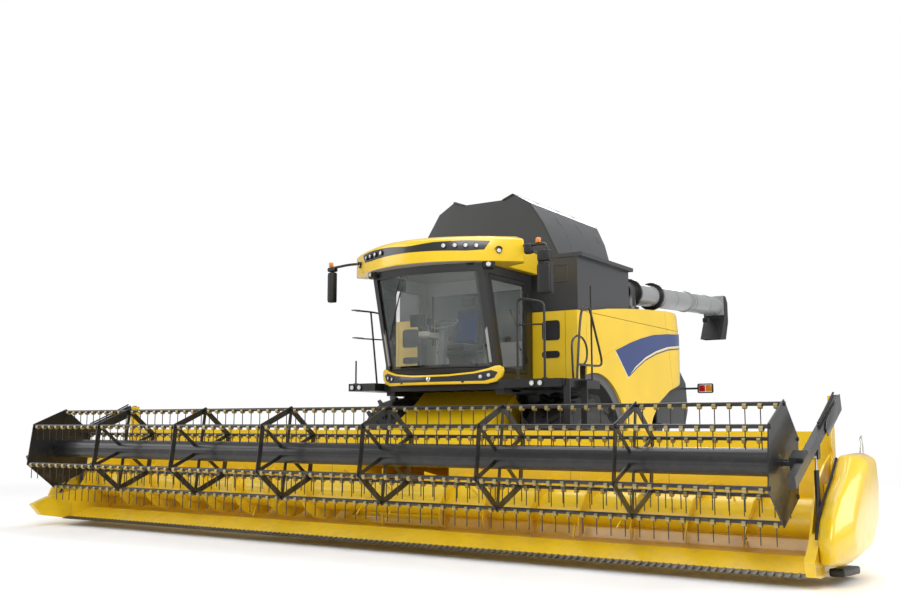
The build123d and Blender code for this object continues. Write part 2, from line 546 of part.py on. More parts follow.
def make_mirrors():
    z = CAB_TOP_Z - 30
    left = block(1150, 1250, -2770, -2670, z - 12, CAB_TOP_Z) + rail([(1200, -2720, z), (1500, -2880, z - 20), (1860, -2920, 3540)], 34)
    left += block(1770, 1950, -2960, -2890, 3180, 3580)
    right = block(-1250, -1150, -2770, -2670, z - 12, CAB_TOP_Z) + rail([(-1200, -2720, z), (-1500, -2790, z - 20), (-1780, -2800, 3540)], 34)
    right += block(-1870, -1690, -2830, -2760, 3180, 3580)
    save("mirrors", Compound(children=[s for r in (left, right) for s in r.solids()]))


def make_rear_lamps():
    arm = block(1050, 1062, 4100, 4200, 2100, 2200) + bar((1060, 4150, 2150), (1500, 4250, 2150), 50) + block(1440, 1600, 4220, 4300, 2050, 2250)
    save("rear_lamps", both_sides(arm))


# ---- feeder house and header -------------------------------------------------
FEEDER_MOUTH_Y = BACK_Y + SHEET + 120 + SEAT


def make_feeder():
    outer = [(FEEDER_MOUTH_Y, 255), (FEEDER_MOUTH_Y, 1130), (-2640, 1430), (-2030, 1790), (-1800, 1960),
             (-1640, 1960), (-1640, 1840), (-1830, 1260)]
    inner = [(FEEDER_MOUTH_Y - 1, 285), (FEEDER_MOUTH_Y - 1, 1100), (-2630, 1400), (-2020, 1755), (-1600, 2000),
             (-1600, 1900), (-1850, 1290)]
    shape = plate_x(outer, -FEEDER_HALF, FEEDER_HALF) - plate_x(inner, -FEEDER_HALF + 30, FEEDER_HALF - 30)
    for sign in (1, -1):
        ends = sorted((sign * (FEEDER_HALF - 40), sign * (FEEDER_HALF + 5)))
        shape -= rod((ends[0], FEEDER_PIVOT_Y, FEEDER_PIVOT_Z), (ends[1], FEEDER_PIVOT_Y, FEEDER_PIVOT_Z), 35 + SEAT)
    y, z = LIFT_EYE
    for sign in (1, -1):
        for x in (LIFT_X - 45, LIFT_X + 33):
            ear = plate_x([(y - 40, z - 40), (y - 60, 560), (y + 120, 660), (y + 40, z - 40)], x, x + 12)
            shape += ear if sign > 0 else mirror(ear, about=Plane.YZ)
        shape += rod((sign * (LIFT_X - 45), y, z), (sign * (LIFT_X + 45), y, z), 16)
    save("feeder_house", shape)


def make_header():
    half = WALL_X - WALL
    # Pan: lip behind the knife, trough round the auger and back sheet.
    floor_r = TROUGH_R + SHEET
    trough_in = [(AUGER_Y + TROUGH_R * sin(radians(a)), AUGER_Z - TROUGH_R * cos(radians(a))) for a in (-25, 0, 25, 50, 75)]
    trough_out = [(AUGER_Y + floor_r * sin(radians(a)), AUGER_Z - floor_r * cos(radians(a))) for a in (-25, 0, 25, 50, 75)]
    top = [(KNIFE_Y, 116), (-4180, 236)] + trough_in + [(BACK_Y, 720), (BACK_Y, BACK_TOP_Z)]
    under = [(KNIFE_Y, 100), (-4180, 220)] + trough_out + [(BACK_Y + SHEET, 720), (BACK_Y + SHEET, BACK_TOP_Z)]
    split = 6     # how many points of each line belong to the pan, not the back
    pan = plate_x(top[:split] + under[:split][::-1], -half + SEAT, half - SEAT)
    save("header_pan", pan - block(-700, 700, -3640, BACK_Y + 40, 285, 1060))
    y, z = top[split - 1]
    y2, z2 = under[split - 1]
    back = plate_x([(y, z + SEAT)] + top[split:] + under[split:][::-1] + [(y2, z2 + SEAT)], -half + SEAT, half - SEAT)
    back -= block(-700, 700, -3640, BACK_Y + 40, 285, 1060)
    reach = half - SEAT
    beams = block(-reach, reach, BACK_Y + SHEET, BACK_Y + SHEET + 120, BACK_TOP_Z - 150, BACK_TOP_Z)
    beams += block(-reach, reach, BACK_Y + SHEET - 30, BACK_Y + SHEET + 120, 60, 200)
    for share in (0.31, 0.59, 0.88):
        for x in (-WALL_X * share - 60, WALL_X * share):
            beams += block(x, x + 60, BACK_Y + SHEET, BACK_Y + SHEET + 100, 190, BACK_TOP_Z - 140)
    for x in (-860, 720):
        beams += block(x, x + 140, BACK_Y + SHEET, BACK_Y + SHEET + 120, 190, BACK_TOP_Z - 140)
    save("header_back", back + beams)
    wall = [(KNIFE_Y + 10, 90), (KNIFE_Y + 30, 380), (-4400, 520), (-4200, 870), (-3800, 1080),
            (-3500, 1180), (-3470, ARM_PIVOT_Z + 60), (-3330, ARM_PIVOT_Z + 60), (BACK_Y + SHEET + 120, BACK_TOP_Z),
            (BACK_Y + SHEET + 120, 60), (-3700, 60)]
    side = plate_x(wall, half, WALL_X)
    side += rod((WALL_X, ARM_PIVOT_Y, ARM_PIVOT_Z), (ARM_X + ARM_W + 12, ARM_PIVOT_Y, ARM_PIVOT_Z), 28)
    side += rod((WALL_X, *REEL_CYL_BASE), (REEL_CYL_X + 24, *REEL_CYL_BASE), 12)
    save("header_walls", both_sides(side))

    shield = [(-4250, 620), (-4100, 160), (-3900, 60), (-3400, 150), (-3120, 480), (-3080, 900), (-3200, 1170), (-3900, 1170), (-4120, 1050)]
    left = plate_x(shield, SHIELD_X0, SHIELD_X1) + block(WALL_X + SEAT, SHIELD_X0 + 1, -3900, -3350, 300, 900)
    save("header_shields", both_sides(left))
    nose = [(-4540, 95), (-5000, 170), (-5150, 330), (-4900, 420), (-4480, 500), (-4400, 500), (-4400, 95)]
    far = plate_x(nose, -SHIELD_X0, -WALL_X - SEAT)
    near = plate_x([(-4540, 95), (-4700, 120), (-4760, 260), (-4480, 470), (-4400, 480), (-4400, 95)], WALL_X + SEAT, SHIELD_X0)
    save("crop_dividers", Compound(children=[far.solids()[0], near.solids()[0]]))


def make_cutterbar():
    half = WALL_X - WALL - 2
    bed = block(-half, half, KNIFE_Y - 70, KNIFE_Y, 96, 124)
    guards = []
    count = int(2 * half / GUARD_PITCH)
    for i in range(count):
        x = (i - (count - 1) / 2) * GUARD_PITCH
        guards.append(plate_x([(KNIFE_Y - 60, 92), (KNIFE_Y - 60, 138), (KNIFE_Y - 190, 106)], x - 9, x + 9))
    save("cutterbar", fused(bed, guards))


def flight():
    """Left-hand screw plate as a chain of flat triangles, its edge let into the tube."""
    steps = 12
    total = FLIGHT_TURNS * steps
    inner, outer, half_t = AUGER_TUBE_R - 12, AUGER_R, 5.0
    rings = []
    for i in range(total + 1):
        a = 2 * pi * i / steps
        x = FLIGHT_IN_X + FLIGHT_PITCH * i / steps
        ring = []
        for r in (inner, outer):
            y, z = AUGER_Y + r * sin(a), AUGER_Z + r * cos(a)
            ring += [(x - half_t, y, z), (x + half_t, y, z)]
        rings.append(ring)
    faces = []

    def quad(a, b, c, d):
        faces.append(Face(Wire.make_polygon([a, b, c], close=True)))
        faces.append(Face(Wire.make_polygon([a, c, d], close=True)))

    for p, q in zip(rings, rings[1:]):
        for a, b in ((0, 1), (1, 3), (3, 2)):
            quad(p[a], p[b], q[b], q[a])
        quad(p[0], q[0], q[2], p[2])
    for ring in (rings[0], rings[-1]):
        quad(ring[0], ring[1], ring[3], ring[2])
    return Solid(Shell(faces))


def make_header_auger():
    reach = WALL_X - WALL - 55
    tube = rod((-reach, AUGER_Y, AUGER_Z), (reach, AUGER_Y, AUGER_Z), AUGER_TUBE_R)
    tube += rod((-WALL_X + WALL + SEAT, AUGER_Y, AUGER_Z), (WALL_X - WALL - SEAT, AUGER_Y, AUGER_Z), 40)
    fingers = []
    for i in range(-8, 9):
        for turn in ((0, 180) if abs(i) > 1 else (0, 90, 180, 270)):
            x = i * 600 + (300 if i < 0 else -300) if abs(i) > 1 else i * 220 + 0.0
            a = radians(turn + 40 * i)
            r0, r1 = AUGER_TUBE_R - 20, AUGER_R + 20
            fingers.append(bar((x, AUGER_Y + r0 * sin(a), AUGER_Z + r0 * cos(a)),
                               (x, AUGER_Y + r1 * sin(a), AUGER_Z + r1 * cos(a)), 16))
    screw = flight()
    save("header_auger", fused(tube, [screw, mirror(screw, about=Plane.YZ)] + fingers))


# ---- reel --------------------------------------------------------------------
def bar_place(i):
    a = radians(REEL_PHASE + 60 * i)
    return REEL_Y + REEL_R * sin(a), REEL_Z + REEL_R * cos(a)


def hexagon(radius):
    return [(REEL_Y + radius * sin(radians(REEL_PHASE + 60 * i)), REEL_Z + radius * cos(radians(REEL_PHASE + 60 * i)))
            for i in range(6)]


def make_reel():
    tube = rod((-REEL_END_X, REEL_Y, REEL_Z), (REEL_END_X, REEL_Y, REEL_Z), REEL_TUBE_R)
    pieces = []
    for x in [s * v for v in SPIDER_X for s in (1, -1)]:
        ring = plate_x(hexagon(REEL_R + 40), x - 6, x + 6) - plate_x(hexagon(REEL_R - 40), x - 7, x + 7)
        for i in range(6):
            y, z = bar_place(i)
            ring += bar((x, REEL_Y, REEL_Z), (x, y, z), 12, 45)
        for i in range(6):
            y, z = bar_place(i)
            ring -= Pos(x, y, z) * Rot(-REEL_PHASE - 60 * i, 0, 0) * Box(140, 2 * (TINE_BAR_R + SEAT), 2 * (TINE_BAR_R + SEAT))
        pieces.append(ring)
    for sign in (1, -1):
        x = sign * REEL_END_X
        disc = plate_x(hexagon(REEL_R + 40), *sorted((x, x - sign * 12)))
        for i in range(6):
            y, z = bar_place(i)
            disc -= Pos(x, y, z) * Rot(-REEL_PHASE - 60 * i, 0, 0) * Box(60, 2 * (TINE_BAR_R + SEAT), 2 * (TINE_BAR_R + SEAT))
        pieces.append(disc)
        pieces.append(rod((x - sign * 6, REEL_Y, REEL_Z), (sign * (ARM_X - 3), REEL_Y, REEL_Z), 30))
    save("reel", fused(tube, pieces))

    stations = sorted([-REEL_END_X, REEL_END_X] + [s * v for v in SPIDER_X for s in (1, -1)])
    pole = rod((-REEL_END_X - 12, 0, 0), (REEL_END_X + 12, 0, 0), TINE_BAR_R)
    tines = []
    for x0, x1 in zip(stations, stations[1:]):
        for k in range(TINES_PER_BAY):
            x = x0 + (x1 - x0) * (k + 0.5) / TINES_PER_BAY
            tines.append(Pos(x, 0, -TINE_BAR_R - TINE_LENGTH / 2 + 5) * Box(TINE_WIDTH, TINE_WIDTH, TINE_LENGTH))
    tined = fused(pole, tines)
    for i in range(6):
        y, z = bar_place(i)
        save(f"tine_bar_{i + 1}", Pos(0, y, z) * tined)


ARM_RUN = Vector(0, REEL_Y - ARM_PIVOT_Y, REEL_Z - ARM_PIVOT_Z)


def along_arm(distance, rise):
    """Point (y, z) at a distance forward of the reel's axis along the arm, and above its middle line."""
    u = ARM_RUN.normalized()
    return REEL_Y + u.Y * distance + u.Z * rise, REEL_Z + u.Z * distance - u.Y * rise


def make_reel_arms():
    h = ARM_H / 2
    back = ARM_RUN.length
    outline = [along_arm(-back - 60, -h), along_arm(-back - 60, h), along_arm(430, h), along_arm(430, -h)]
    arm = plate_x(outline, ARM_X, ARM_X + ARM_W)
    arm -= rod((ARM_X - 5, ARM_PIVOT_Y, ARM_PIVOT_Z), (ARM_X + ARM_W + 5, ARM_PIVOT_Y, ARM_PIVOT_Z), 28 + SEAT)
    y, z = REEL_CYL_EYE
    for x in (ARM_X, ARM_X + ARM_W - 12):
        arm += plate_x([(y - 48, z - 44), (y - 48, z + 90), (y + 48, z + 90), (y + 48, z - 44)], x, x + 12)
    arm += rod((ARM_X, y, z), (ARM_X + ARM_W, y, z), 8)
    save("reel_arms", both_sides(arm))
    outline = [along_arm(-90, -70), along_arm(-90, h + 30), along_arm(90, h + 30), along_arm(90, -70)]
    block_ = plate_x(outline, ARM_X - 60, ARM_X - SEAT)
    lip = [along_arm(-90, h + SEAT), along_arm(-90, h + 30), along_arm(90, h + 30), along_arm(90, h + SEAT)]
    block_ += plate_x(lip, ARM_X - 60, ARM_X + ARM_W)
    block_ -= rod((ARM_X - 80, REEL_Y, REEL_Z), (ARM_X + 10, REEL_Y, REEL_Z), 30 + SEAT)
    save("reel_bearings", both_sides(block_))


# ---- cylinders ---------------------------------------------------------------
CYLINDERS = [
    # pieces, x of the left one, barrel's eye, rod's eye, barrel r, rod r, barrel's eye r, rod's eye r,
    # rod's eye bore, length of barrel, start of rod, start of the barrel's bore, pin r at the barrel
    ("lift_cylinder", LIFT_X, LIFT_BASE, LIFT_EYE, 48, 28, LIFT_EYE_R, 46, 31, 800, 320, 300, 20),
    ("reel_cylinder", REEL_CYL_X, REEL_CYL_BASE, REEL_CYL_EYE, 24, 13, 26, 42, 36, 600, 110, 34, 12),
]


def make_cylinders():
    """Barrels and rods; each rod's eye is loose on its pin."""
    for name, x, base, eye, barrel_r, rod_r, base_r, eye_r, bore_r, barrel_end, rod_start, bore_start, pin_r in CYLINDERS:
        run = Vector(0, eye[0] - base[0], eye[1] - base[1])
        u = run.normalized()
        p, q = Vector(x, *base), Vector(x, *eye)
        neck = base_r * 0.6
        barrel = rod(tuple(p + u * (base_r * 0.5)), tuple(p + u * (base_r + 50)), neck)
        barrel += rod(tuple(p + u * (base_r + 40)), tuple(p + u * barrel_end), barrel_r)
        barrel += rod((x - neck, *base), (x + neck, *base), base_r)
        barrel -= rod((x - base_r, *base), (x + base_r, *base), pin_r + SEAT)
        barrel -= rod(tuple(p + u * bore_start), tuple(p + u * (barrel_end + 5)), rod_r + SEAT)
        save(name + "_barrels", both_sides(barrel))
        stem = rod(tuple(p + u * rod_start), tuple(q - u * ((eye_r + bore_r) / 2)), rod_r)
        half = min(eye_r * 0.6, ARM_W / 2 - 17)
        stem += rod((x - half, *eye), (x + half, *eye), eye_r)
        stem -= rod((x - eye_r, *eye), (x + eye_r, *eye), bore_r)
        save(name + "_rods", both_sides(stem))


os.makedirs("parts", exist_ok=True)
make_wheels()
make_axles()
make_frame()
make_body()
make_hood()
make_deck()
make_side_panels()
make_shoulders()
make_fenders()
make_tank()
make_covers()
make_unloader()
make_cab()
make_bumper()
make_platforms()
make_ladder()
make_mirrors()
make_rear_lamps()
make_feeder()
make_header()
make_cutterbar()
make_header_auger()
make_reel()
make_reel_arms()
make_cylinders()
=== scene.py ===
import json
import math

import bmesh
import bpy
from mathutils import Matrix, Vector


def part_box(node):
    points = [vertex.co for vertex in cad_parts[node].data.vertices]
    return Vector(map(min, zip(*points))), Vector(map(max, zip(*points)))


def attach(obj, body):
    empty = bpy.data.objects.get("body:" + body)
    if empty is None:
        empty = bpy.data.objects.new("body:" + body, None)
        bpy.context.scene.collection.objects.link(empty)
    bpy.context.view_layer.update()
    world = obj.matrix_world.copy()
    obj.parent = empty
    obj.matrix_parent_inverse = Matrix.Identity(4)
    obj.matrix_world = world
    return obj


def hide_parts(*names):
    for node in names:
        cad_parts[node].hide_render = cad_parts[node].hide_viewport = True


# Combine harvester with a wide grain header: the looks of every piece, in metres.
# +Z is up, the machine faces -Y, and its left side is +X.

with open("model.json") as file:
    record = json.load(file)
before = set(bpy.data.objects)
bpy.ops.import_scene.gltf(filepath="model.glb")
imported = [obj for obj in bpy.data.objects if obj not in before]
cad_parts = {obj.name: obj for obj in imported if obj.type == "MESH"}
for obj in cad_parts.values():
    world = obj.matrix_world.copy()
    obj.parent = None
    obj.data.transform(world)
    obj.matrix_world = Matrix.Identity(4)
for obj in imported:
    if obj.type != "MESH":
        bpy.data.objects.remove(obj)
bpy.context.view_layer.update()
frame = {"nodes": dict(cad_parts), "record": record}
nodes = frame["nodes"]


# ---- materials ---------------------------------------------------------------
class Value:
    """A node's output in a material. Arithmetic on it adds the Math nodes that work it out."""

    def __init__(self, tree, socket):
        self.tree, self.socket = tree, socket

    def node(self, kind, inputs, settings=None, out=0):
        """Adds one node: its settings first, then its inputs by name or number. Returns an output."""
        made = self.tree.nodes.new("ShaderNode" + kind)
        for name, setting in (settings or {}).items():
            if name == "stops":
                ramp = made.color_ramp.elements
                while len(ramp) < len(setting):
                    ramp.new(0.5)
                for stop, (place, colour) in zip(ramp, setting):
                    stop.position, stop.color = place, colour
            else:
                setattr(made, name, setting)
        for key, given in inputs.items():
            if isinstance(given, Value):
                self.tree.links.new(given.socket, made.inputs[key])
            else:
                made.inputs[key].default_value = given
        return Value(self.tree, made.outputs[out])

    def math(self, operation, first, second=0.0):
        return self.node("Math", {0: first, 1: second}, {"operation": operation})

    def __add__(self, other):
        return self.math("ADD", self, other)

    def __sub__(self, other):
        return self.math("SUBTRACT", self, other)

    def __rsub__(self, other):
        return self.math("SUBTRACT", other, self)

    def __mul__(self, other):
        return self.math("MULTIPLY", self, other)

    def __truediv__(self, other):
        return self.math("DIVIDE", self, other)

    def __gt__(self, other):
        return self.math("GREATER_THAN", self, other)

    def __lt__(self, other):
        return self.math("LESS_THAN", self, other)

    def __abs__(self):
        return self.math("ABSOLUTE", self)

    def __mod__(self, other):
        return self.math("FLOORED_MODULO", self, other)

    __radd__, __rmul__ = __add__, __mul__


def grey(level):
    return (level, level, level, 1.0)


def material(name):
    """A new material: itself, its object coordinates, and its main shader."""
    made = bpy.data.materials.new(name)
    made.use_nodes = True
    tree = made.node_tree
    shader = tree.nodes["Principled BSDF"]
    place = Value(tree, tree.nodes.new("ShaderNodeTexCoord").outputs["Object"])
    return made, place, shader


def put(shader, place, **given):
    """Sets or links the shader's sockets, whose names are given with underscores."""
    for name, value in given.items():
        socket = shader.inputs[name.replace("_", " ")]
        if isinstance(value, Value):
            place.tree.links.new(value.socket, socket)
        else:
            socket.default_value = value


def axes(place):
    """The three coordinates, one by one."""
    return [place.node("SeparateXYZ", {0: place}, out=i) for i in range(3)]


def noise(place, scale, detail=3.0, rough=0.55):
    return place.node("TexNoise", {"Vector": place, "Scale": scale, "Detail": detail, "Roughness": rough})


def fade(value, low, high, low_to=0.0, high_to=1.0):
    """The value's stretch from low to high, mapped to another and held at its ends."""
    return value.node("MapRange", {0: value, 1: low, 2: high, 3: low_to, 4: high_to}, {"clamp": True})


def blend_colours(share, first, second):
    return share.node("MixRGB", {0: share, 1: first, 2: second})


def bump(height, strength, distance):
    return height.node("Bump", {"Strength": strength, "Distance": distance, "Height": height})


def between(value, low, high):
    return (value > low) * (value < high)


def line_height(along, points):
    """Height of a drawn line of (along, height) points, between its first and last."""
    (a0, _), (a1, _) = points[0], points[-1]
    heights = [h for _, h in points]
    low, high = min(heights), max(heights)
    stops = [((a - a0) / (a1 - a0), grey((h - low) / (high - low))) for a, h in points]
    share = along.node("ValToRGB", {0: fade(along, a0, a1)}, {"stops": stops})
    return share * (high - low) + low


def painted(name, colour, rough, coat, dust=0.3, peel=0.02, shade=0.06, marks=None, seams=None):
    """Sprayed paint: slow changes of shade, fine orange peel, and dust that gathers low down.

    marks(place) gives pairs of a mask and the colour painted there.
    seams(place) is a mask of thin panel joints.
    """
    made, place, shader = material(name)
    slow = fade(noise(place, 1.3), 0.3, 0.7)
    fine = noise(place, 60.0, 4.0)
    height = axes(place)[2]
    low = fade(height, 0.1, 1.3, 1.0, 0.0)
    speckle = fade(noise(place, 9.0, 6.0, 0.65), 0.45, 0.75)
    dusty = low * speckle * dust
    dark = tuple(c * (1 - shade) for c in colour) + (1.0,)
    light = tuple(min(1.0, c * (1 + shade * 0.6)) for c in colour) + (1.0,)
    base = blend_colours(slow, dark, light)
    for mask, tint in (marks(place) if marks else ()):
        base = blend_colours(mask, base, tint)
    height_map = fine * 0.2
    if seams:
        joint = seams(place)
        base = blend_colours(joint * 0.85, base, grey(0.01))
        height_map = height_map - joint
    base = blend_colours(dusty, base, (0.33, 0.27, 0.18, 1.0))
    put(shader, place, Base_Color=base, Roughness=rough + dusty * 0.4 + slow * 0.05,
        Normal=bump(height_map, peel * 4, 0.002), Coat_Weight=coat, Coat_Roughness=0.1)
    return made


def moulded(name, colour, rough, marks=None):
    """Plastic with a fine pebbled grain."""
    made, place, shader = material(name)
    grain = place.node("TexVoronoi", {"Vector": place, "Scale": 260.0})
    slow = fade(noise(place, 2.0), 0.3, 0.7)
    dark = tuple(c * 0.85 for c in colour) + (1.0,)
    base = blend_colours(slow, dark, colour + (1.0,))
    for mask, tint in (marks(place) if marks else ()):
        base = blend_colours(mask, base, tint)
    put(shader, place, Base_Color=base, Roughness=slow * 0.1 + rough, Normal=bump(grain, 0.12, 0.001))
    return made


def metal(name, colour, rough, metallic=1.0, stroke=(1.0, 40.0, 40.0)):
    """Bare metal with fine brushing along X."""
    made, place, shader = material(name)
    lay = place.node("Mapping", {"Vector": place, "Scale": stroke})
    strokes = place.node("TexNoise", {"Vector": lay, "Scale": 12.0, "Detail": 5.0})
    slow = fade(noise(place, 4.0), 0.35, 0.7)
    dark = tuple(c * 0.75 for c in colour) + (1.0,)
    base = blend_colours(slow, dark, colour + (1.0,))
    put(shader, place, Base_Color=base, Roughness=fade(strokes, 0.3, 0.7, rough * 0.7, rough * 1.3),
        Metallic=metallic, Normal=bump(strokes, 0.05, 0.001))
    return made


def cast(name, colour):
    made, place, shader = material(name)
    sand = noise(place, 120.0, 5.0, 0.7)
    slow = fade(noise(place, 5.0), 0.3, 0.7)
    dark = tuple(c * 0.6 for c in colour) + (1.0,)
    put(shader, place, Base_Color=blend_colours(slow, dark, colour + (1.0,)),
        Roughness=slow * 0.15 + 0.5, Normal=bump(sand, 0.25, 0.002), Metallic=0.3)
    return made


def tyre_rubber(name):
    """Black rubber, greyer with soil low in the tread."""
    made, place, shader = material(name)
    soil = fade(noise(place, 7.0, 6.0, 0.7), 0.45, 0.8)
    fine = noise(place, 180.0, 4.0)
    base = blend_colours(soil * 0.3, grey(0.018), (0.075, 0.07, 0.062, 1.0))
    put(shader, place, Base_Color=base, Roughness=soil * 0.2 + 0.55, Normal=bump(fine, 0.15, 0.002))
    return made


def clear_glass(name, tint, alpha, border=None):
    """Thin tinted glass; border(place) is a mask of its black printed edge."""
    made, place, shader = material(name)
    film = fade(noise(place, 3.0), 0.35, 0.75)
    show = film * 0.04 + alpha
    base = tint + (1.0,)
    if border:
        edge = border(place)
        show = edge + (1 - edge) * show
        base = blend_colours(edge, base, grey(0.008))
    put(shader, place, Base_Color=base, Roughness=film * 0.04 + 0.03, Alpha=show, Specular_IOR_Level=0.7)
    return made


def woven(name, colour):
    made, place, shader = material(name)
    across = place.node("TexWave", {"Vector": place, "Scale": 130.0}, {"bands_direction": "X"})
    along = place.node("TexWave", {"Vector": place, "Scale": 130.0}, {"bands_direction": "Z"})
    threads = across * along
    dark = tuple(c * 0.5 for c in colour) + (1.0,)
    put(shader, place, Base_Color=blend_colours(threads, dark, colour + (1.0,)), Roughness=0.85,
        Normal=bump(threads, 0.3, 0.001), Sheen_Weight=0.2)
    return made


def lit(name, colour, strength):
    """Lamp glass: pale, faceted, and slightly bright of itself."""
    made, place, shader = material(name)
    ribs = place.node("TexVoronoi", {"Vector": place, "Scale": 90.0})
    dark = tuple(c * 0.6 for c in colour) + (1.0,)
    base = blend_colours(fade(ribs, 0.1, 0.5), colour + (1.0,), dark)
    put(shader, place, Base_Color=base, Roughness=fade(ribs, 0.0, 0.6, 0.05, 0.2), Emission_Color=base,
        Emission_Strength=strength, Normal=bump(ribs, 0.3, 0.002), Coat_Weight=0.6)
    return made


# Lines on the side panels, as (y, z).
STRIPE_TOP = [(-0.33, 2.57), (0.25, 2.727), (0.67, 2.822), (1.2, 2.917), (1.82, 2.977), (2.95, 3.05)]
STRIPE_FOOT = [(-0.33, 2.577), (0.155, 2.194), (0.45, 2.37), (0.85, 2.535), (1.3, 2.66), (1.82, 2.76),
               (2.95, 2.87)]
PINSTRIPE = [(0.17, 2.2), (0.5, 2.352), (0.85, 2.49), (1.3, 2.613), (1.82, 2.712), (2.95, 2.82)]
REAR_SEAM = [(1.815, 3.31), (1.865, 2.715), (2.06, 2.0)]
BLUE, PALE = (0.005, 0.03, 0.16, 1.0), (0.72, 0.7, 0.6, 1.0)


def stripe_marks(place):
    """Blue wedge that sweeps back under the crease, with a pale edge and a thin blue line below."""
    _, y, z = axes(place)
    foot = line_height(y, STRIPE_FOOT)
    band = (z < line_height(y, STRIPE_TOP)) * (z > foot) * (y > -0.33)
    edge = (z < foot) * (z > foot - 0.022) * (y > -0.3)
    thin = abs(z - line_height(y, PINSTRIPE))
    return [(edge, PALE), (band, BLUE), ((thin < 0.011) * (y > 0.18), BLUE)]


def panel_seams(place):
    _, y, z = axes(place)
    (y0, z0), (y1, z1), (y2, z2) = REAR_SEAM
    upper, lower = (y1 - y0) / (z0 - z1), (y2 - y1) / (z1 - z2)
    leaning = y0 + (z0 - z) * upper + (z < z1) * (z1 - z) * (lower - upper)
    return abs(y - leaning) < 0.0035


BROW_TOP = [(0.0, 3.845), (0.06, 3.846), (0.376, 3.872), (0.79, 3.88), (1.06, 3.871)]
BROW_FOOT = [(0.0, 3.757), (0.376, 3.752), (0.79, 3.74), (0.99, 3.753), (1.06, 3.871)]
BUMPER_TOP = [(0.0, 2.115), (0.3, 2.12), (0.64, 2.15), (0.86, 2.196), (0.94, 2.168)]
BUMPER_FOOT = [(0.0, 2.046), (0.3, 2.046), (0.78, 2.052), (0.9, 2.093), (0.94, 2.168)]


def inset_marks(top, foot):
    """Black inset of the brow or the bumper, the same on both sides."""
    def marks(place):
        x, y, z = axes(place)
        out = abs(x)
        band = (z < line_height(out, top)) * (z > line_height(out, foot)) * (out < top[-1][0]) * (y < -2.52)
        inner = between(z, 3.59, 3.606) * (out < 0.9)
        return [(band, grey(0.012)), (inner, (0.4, 0.39, 0.37, 1.0))]
    return marks


def cab_marks(place):
    """Pale lining inside the rear half of the cab."""
    x, y, z = axes(place)
    inside = (abs(x) < 0.8675) * between(y, -2.75, -1.652) * (z > 2.3)
    front = (abs(x) > 0.862) * (y < -2.2)
    return [(inside * (1 - front), (0.33, 0.33, 0.32, 1.0))]


def tube_marks(place):
    """Black bolted flanges and joint bands round the unloading tube, and its black elbow."""
    _, y, z = axes(place)
    elbow = (y < 0.96) * (z < 3.74)
    flanges = between(y, 0.87, 1.0) + between(y, 1.83, 1.965)
    bands = between(y, 2.71, 2.78) * 0.4 + between(y, 3.55, 3.62) + between(y, 3.72, 3.76)
    lamp = (z < 3.5) * (y > 3.5)
    return [(elbow, grey(0.012)), (flanges.math("MINIMUM", flanges, 1.0), grey(0.012)),
            (bands * 0.8, grey(0.06)),
            (lamp, grey(0.012))]


def shoulder_marks(place):
    x, y, z = axes(place)
    wells = (y > -1.589) * (between(z, 2.645, 2.935) * between(abs(x), 1.07, 1.36)
                           + between(z, 2.395, 2.505) * between(abs(x), 1.065, 1.355))
    return [(wells, grey(0.008))]


def shoulder_seams(place):
    x, y, _ = axes(place)
    return (abs(abs(x) - 1.44) < 0.003) * (y < -1.55)


def header_seams(place):
    """Sheet joints across the back of the header."""
    x, _, z = axes(place)
    step = abs((x + 0.6) % 1.2 - 0.6)
    return (step < 0.003) * (z > 0.5)


def frit(place):
    """Black printed border of the windscreen and side window."""
    x, y, z = axes(place)
    foot = z < 2.285
    head = z > 3.53
    corner = (abs(x) > 0.79) * (y < -2.4)
    return (foot + head + corner).math("MINIMUM", foot + head + corner, 1.0)


def hood_seams(place):
    x, y, z = axes(place)
    return (abs(abs(x) - 0.55) < 0.003) * (y > 2.6) + (abs(z - 2.35) < 0.003)


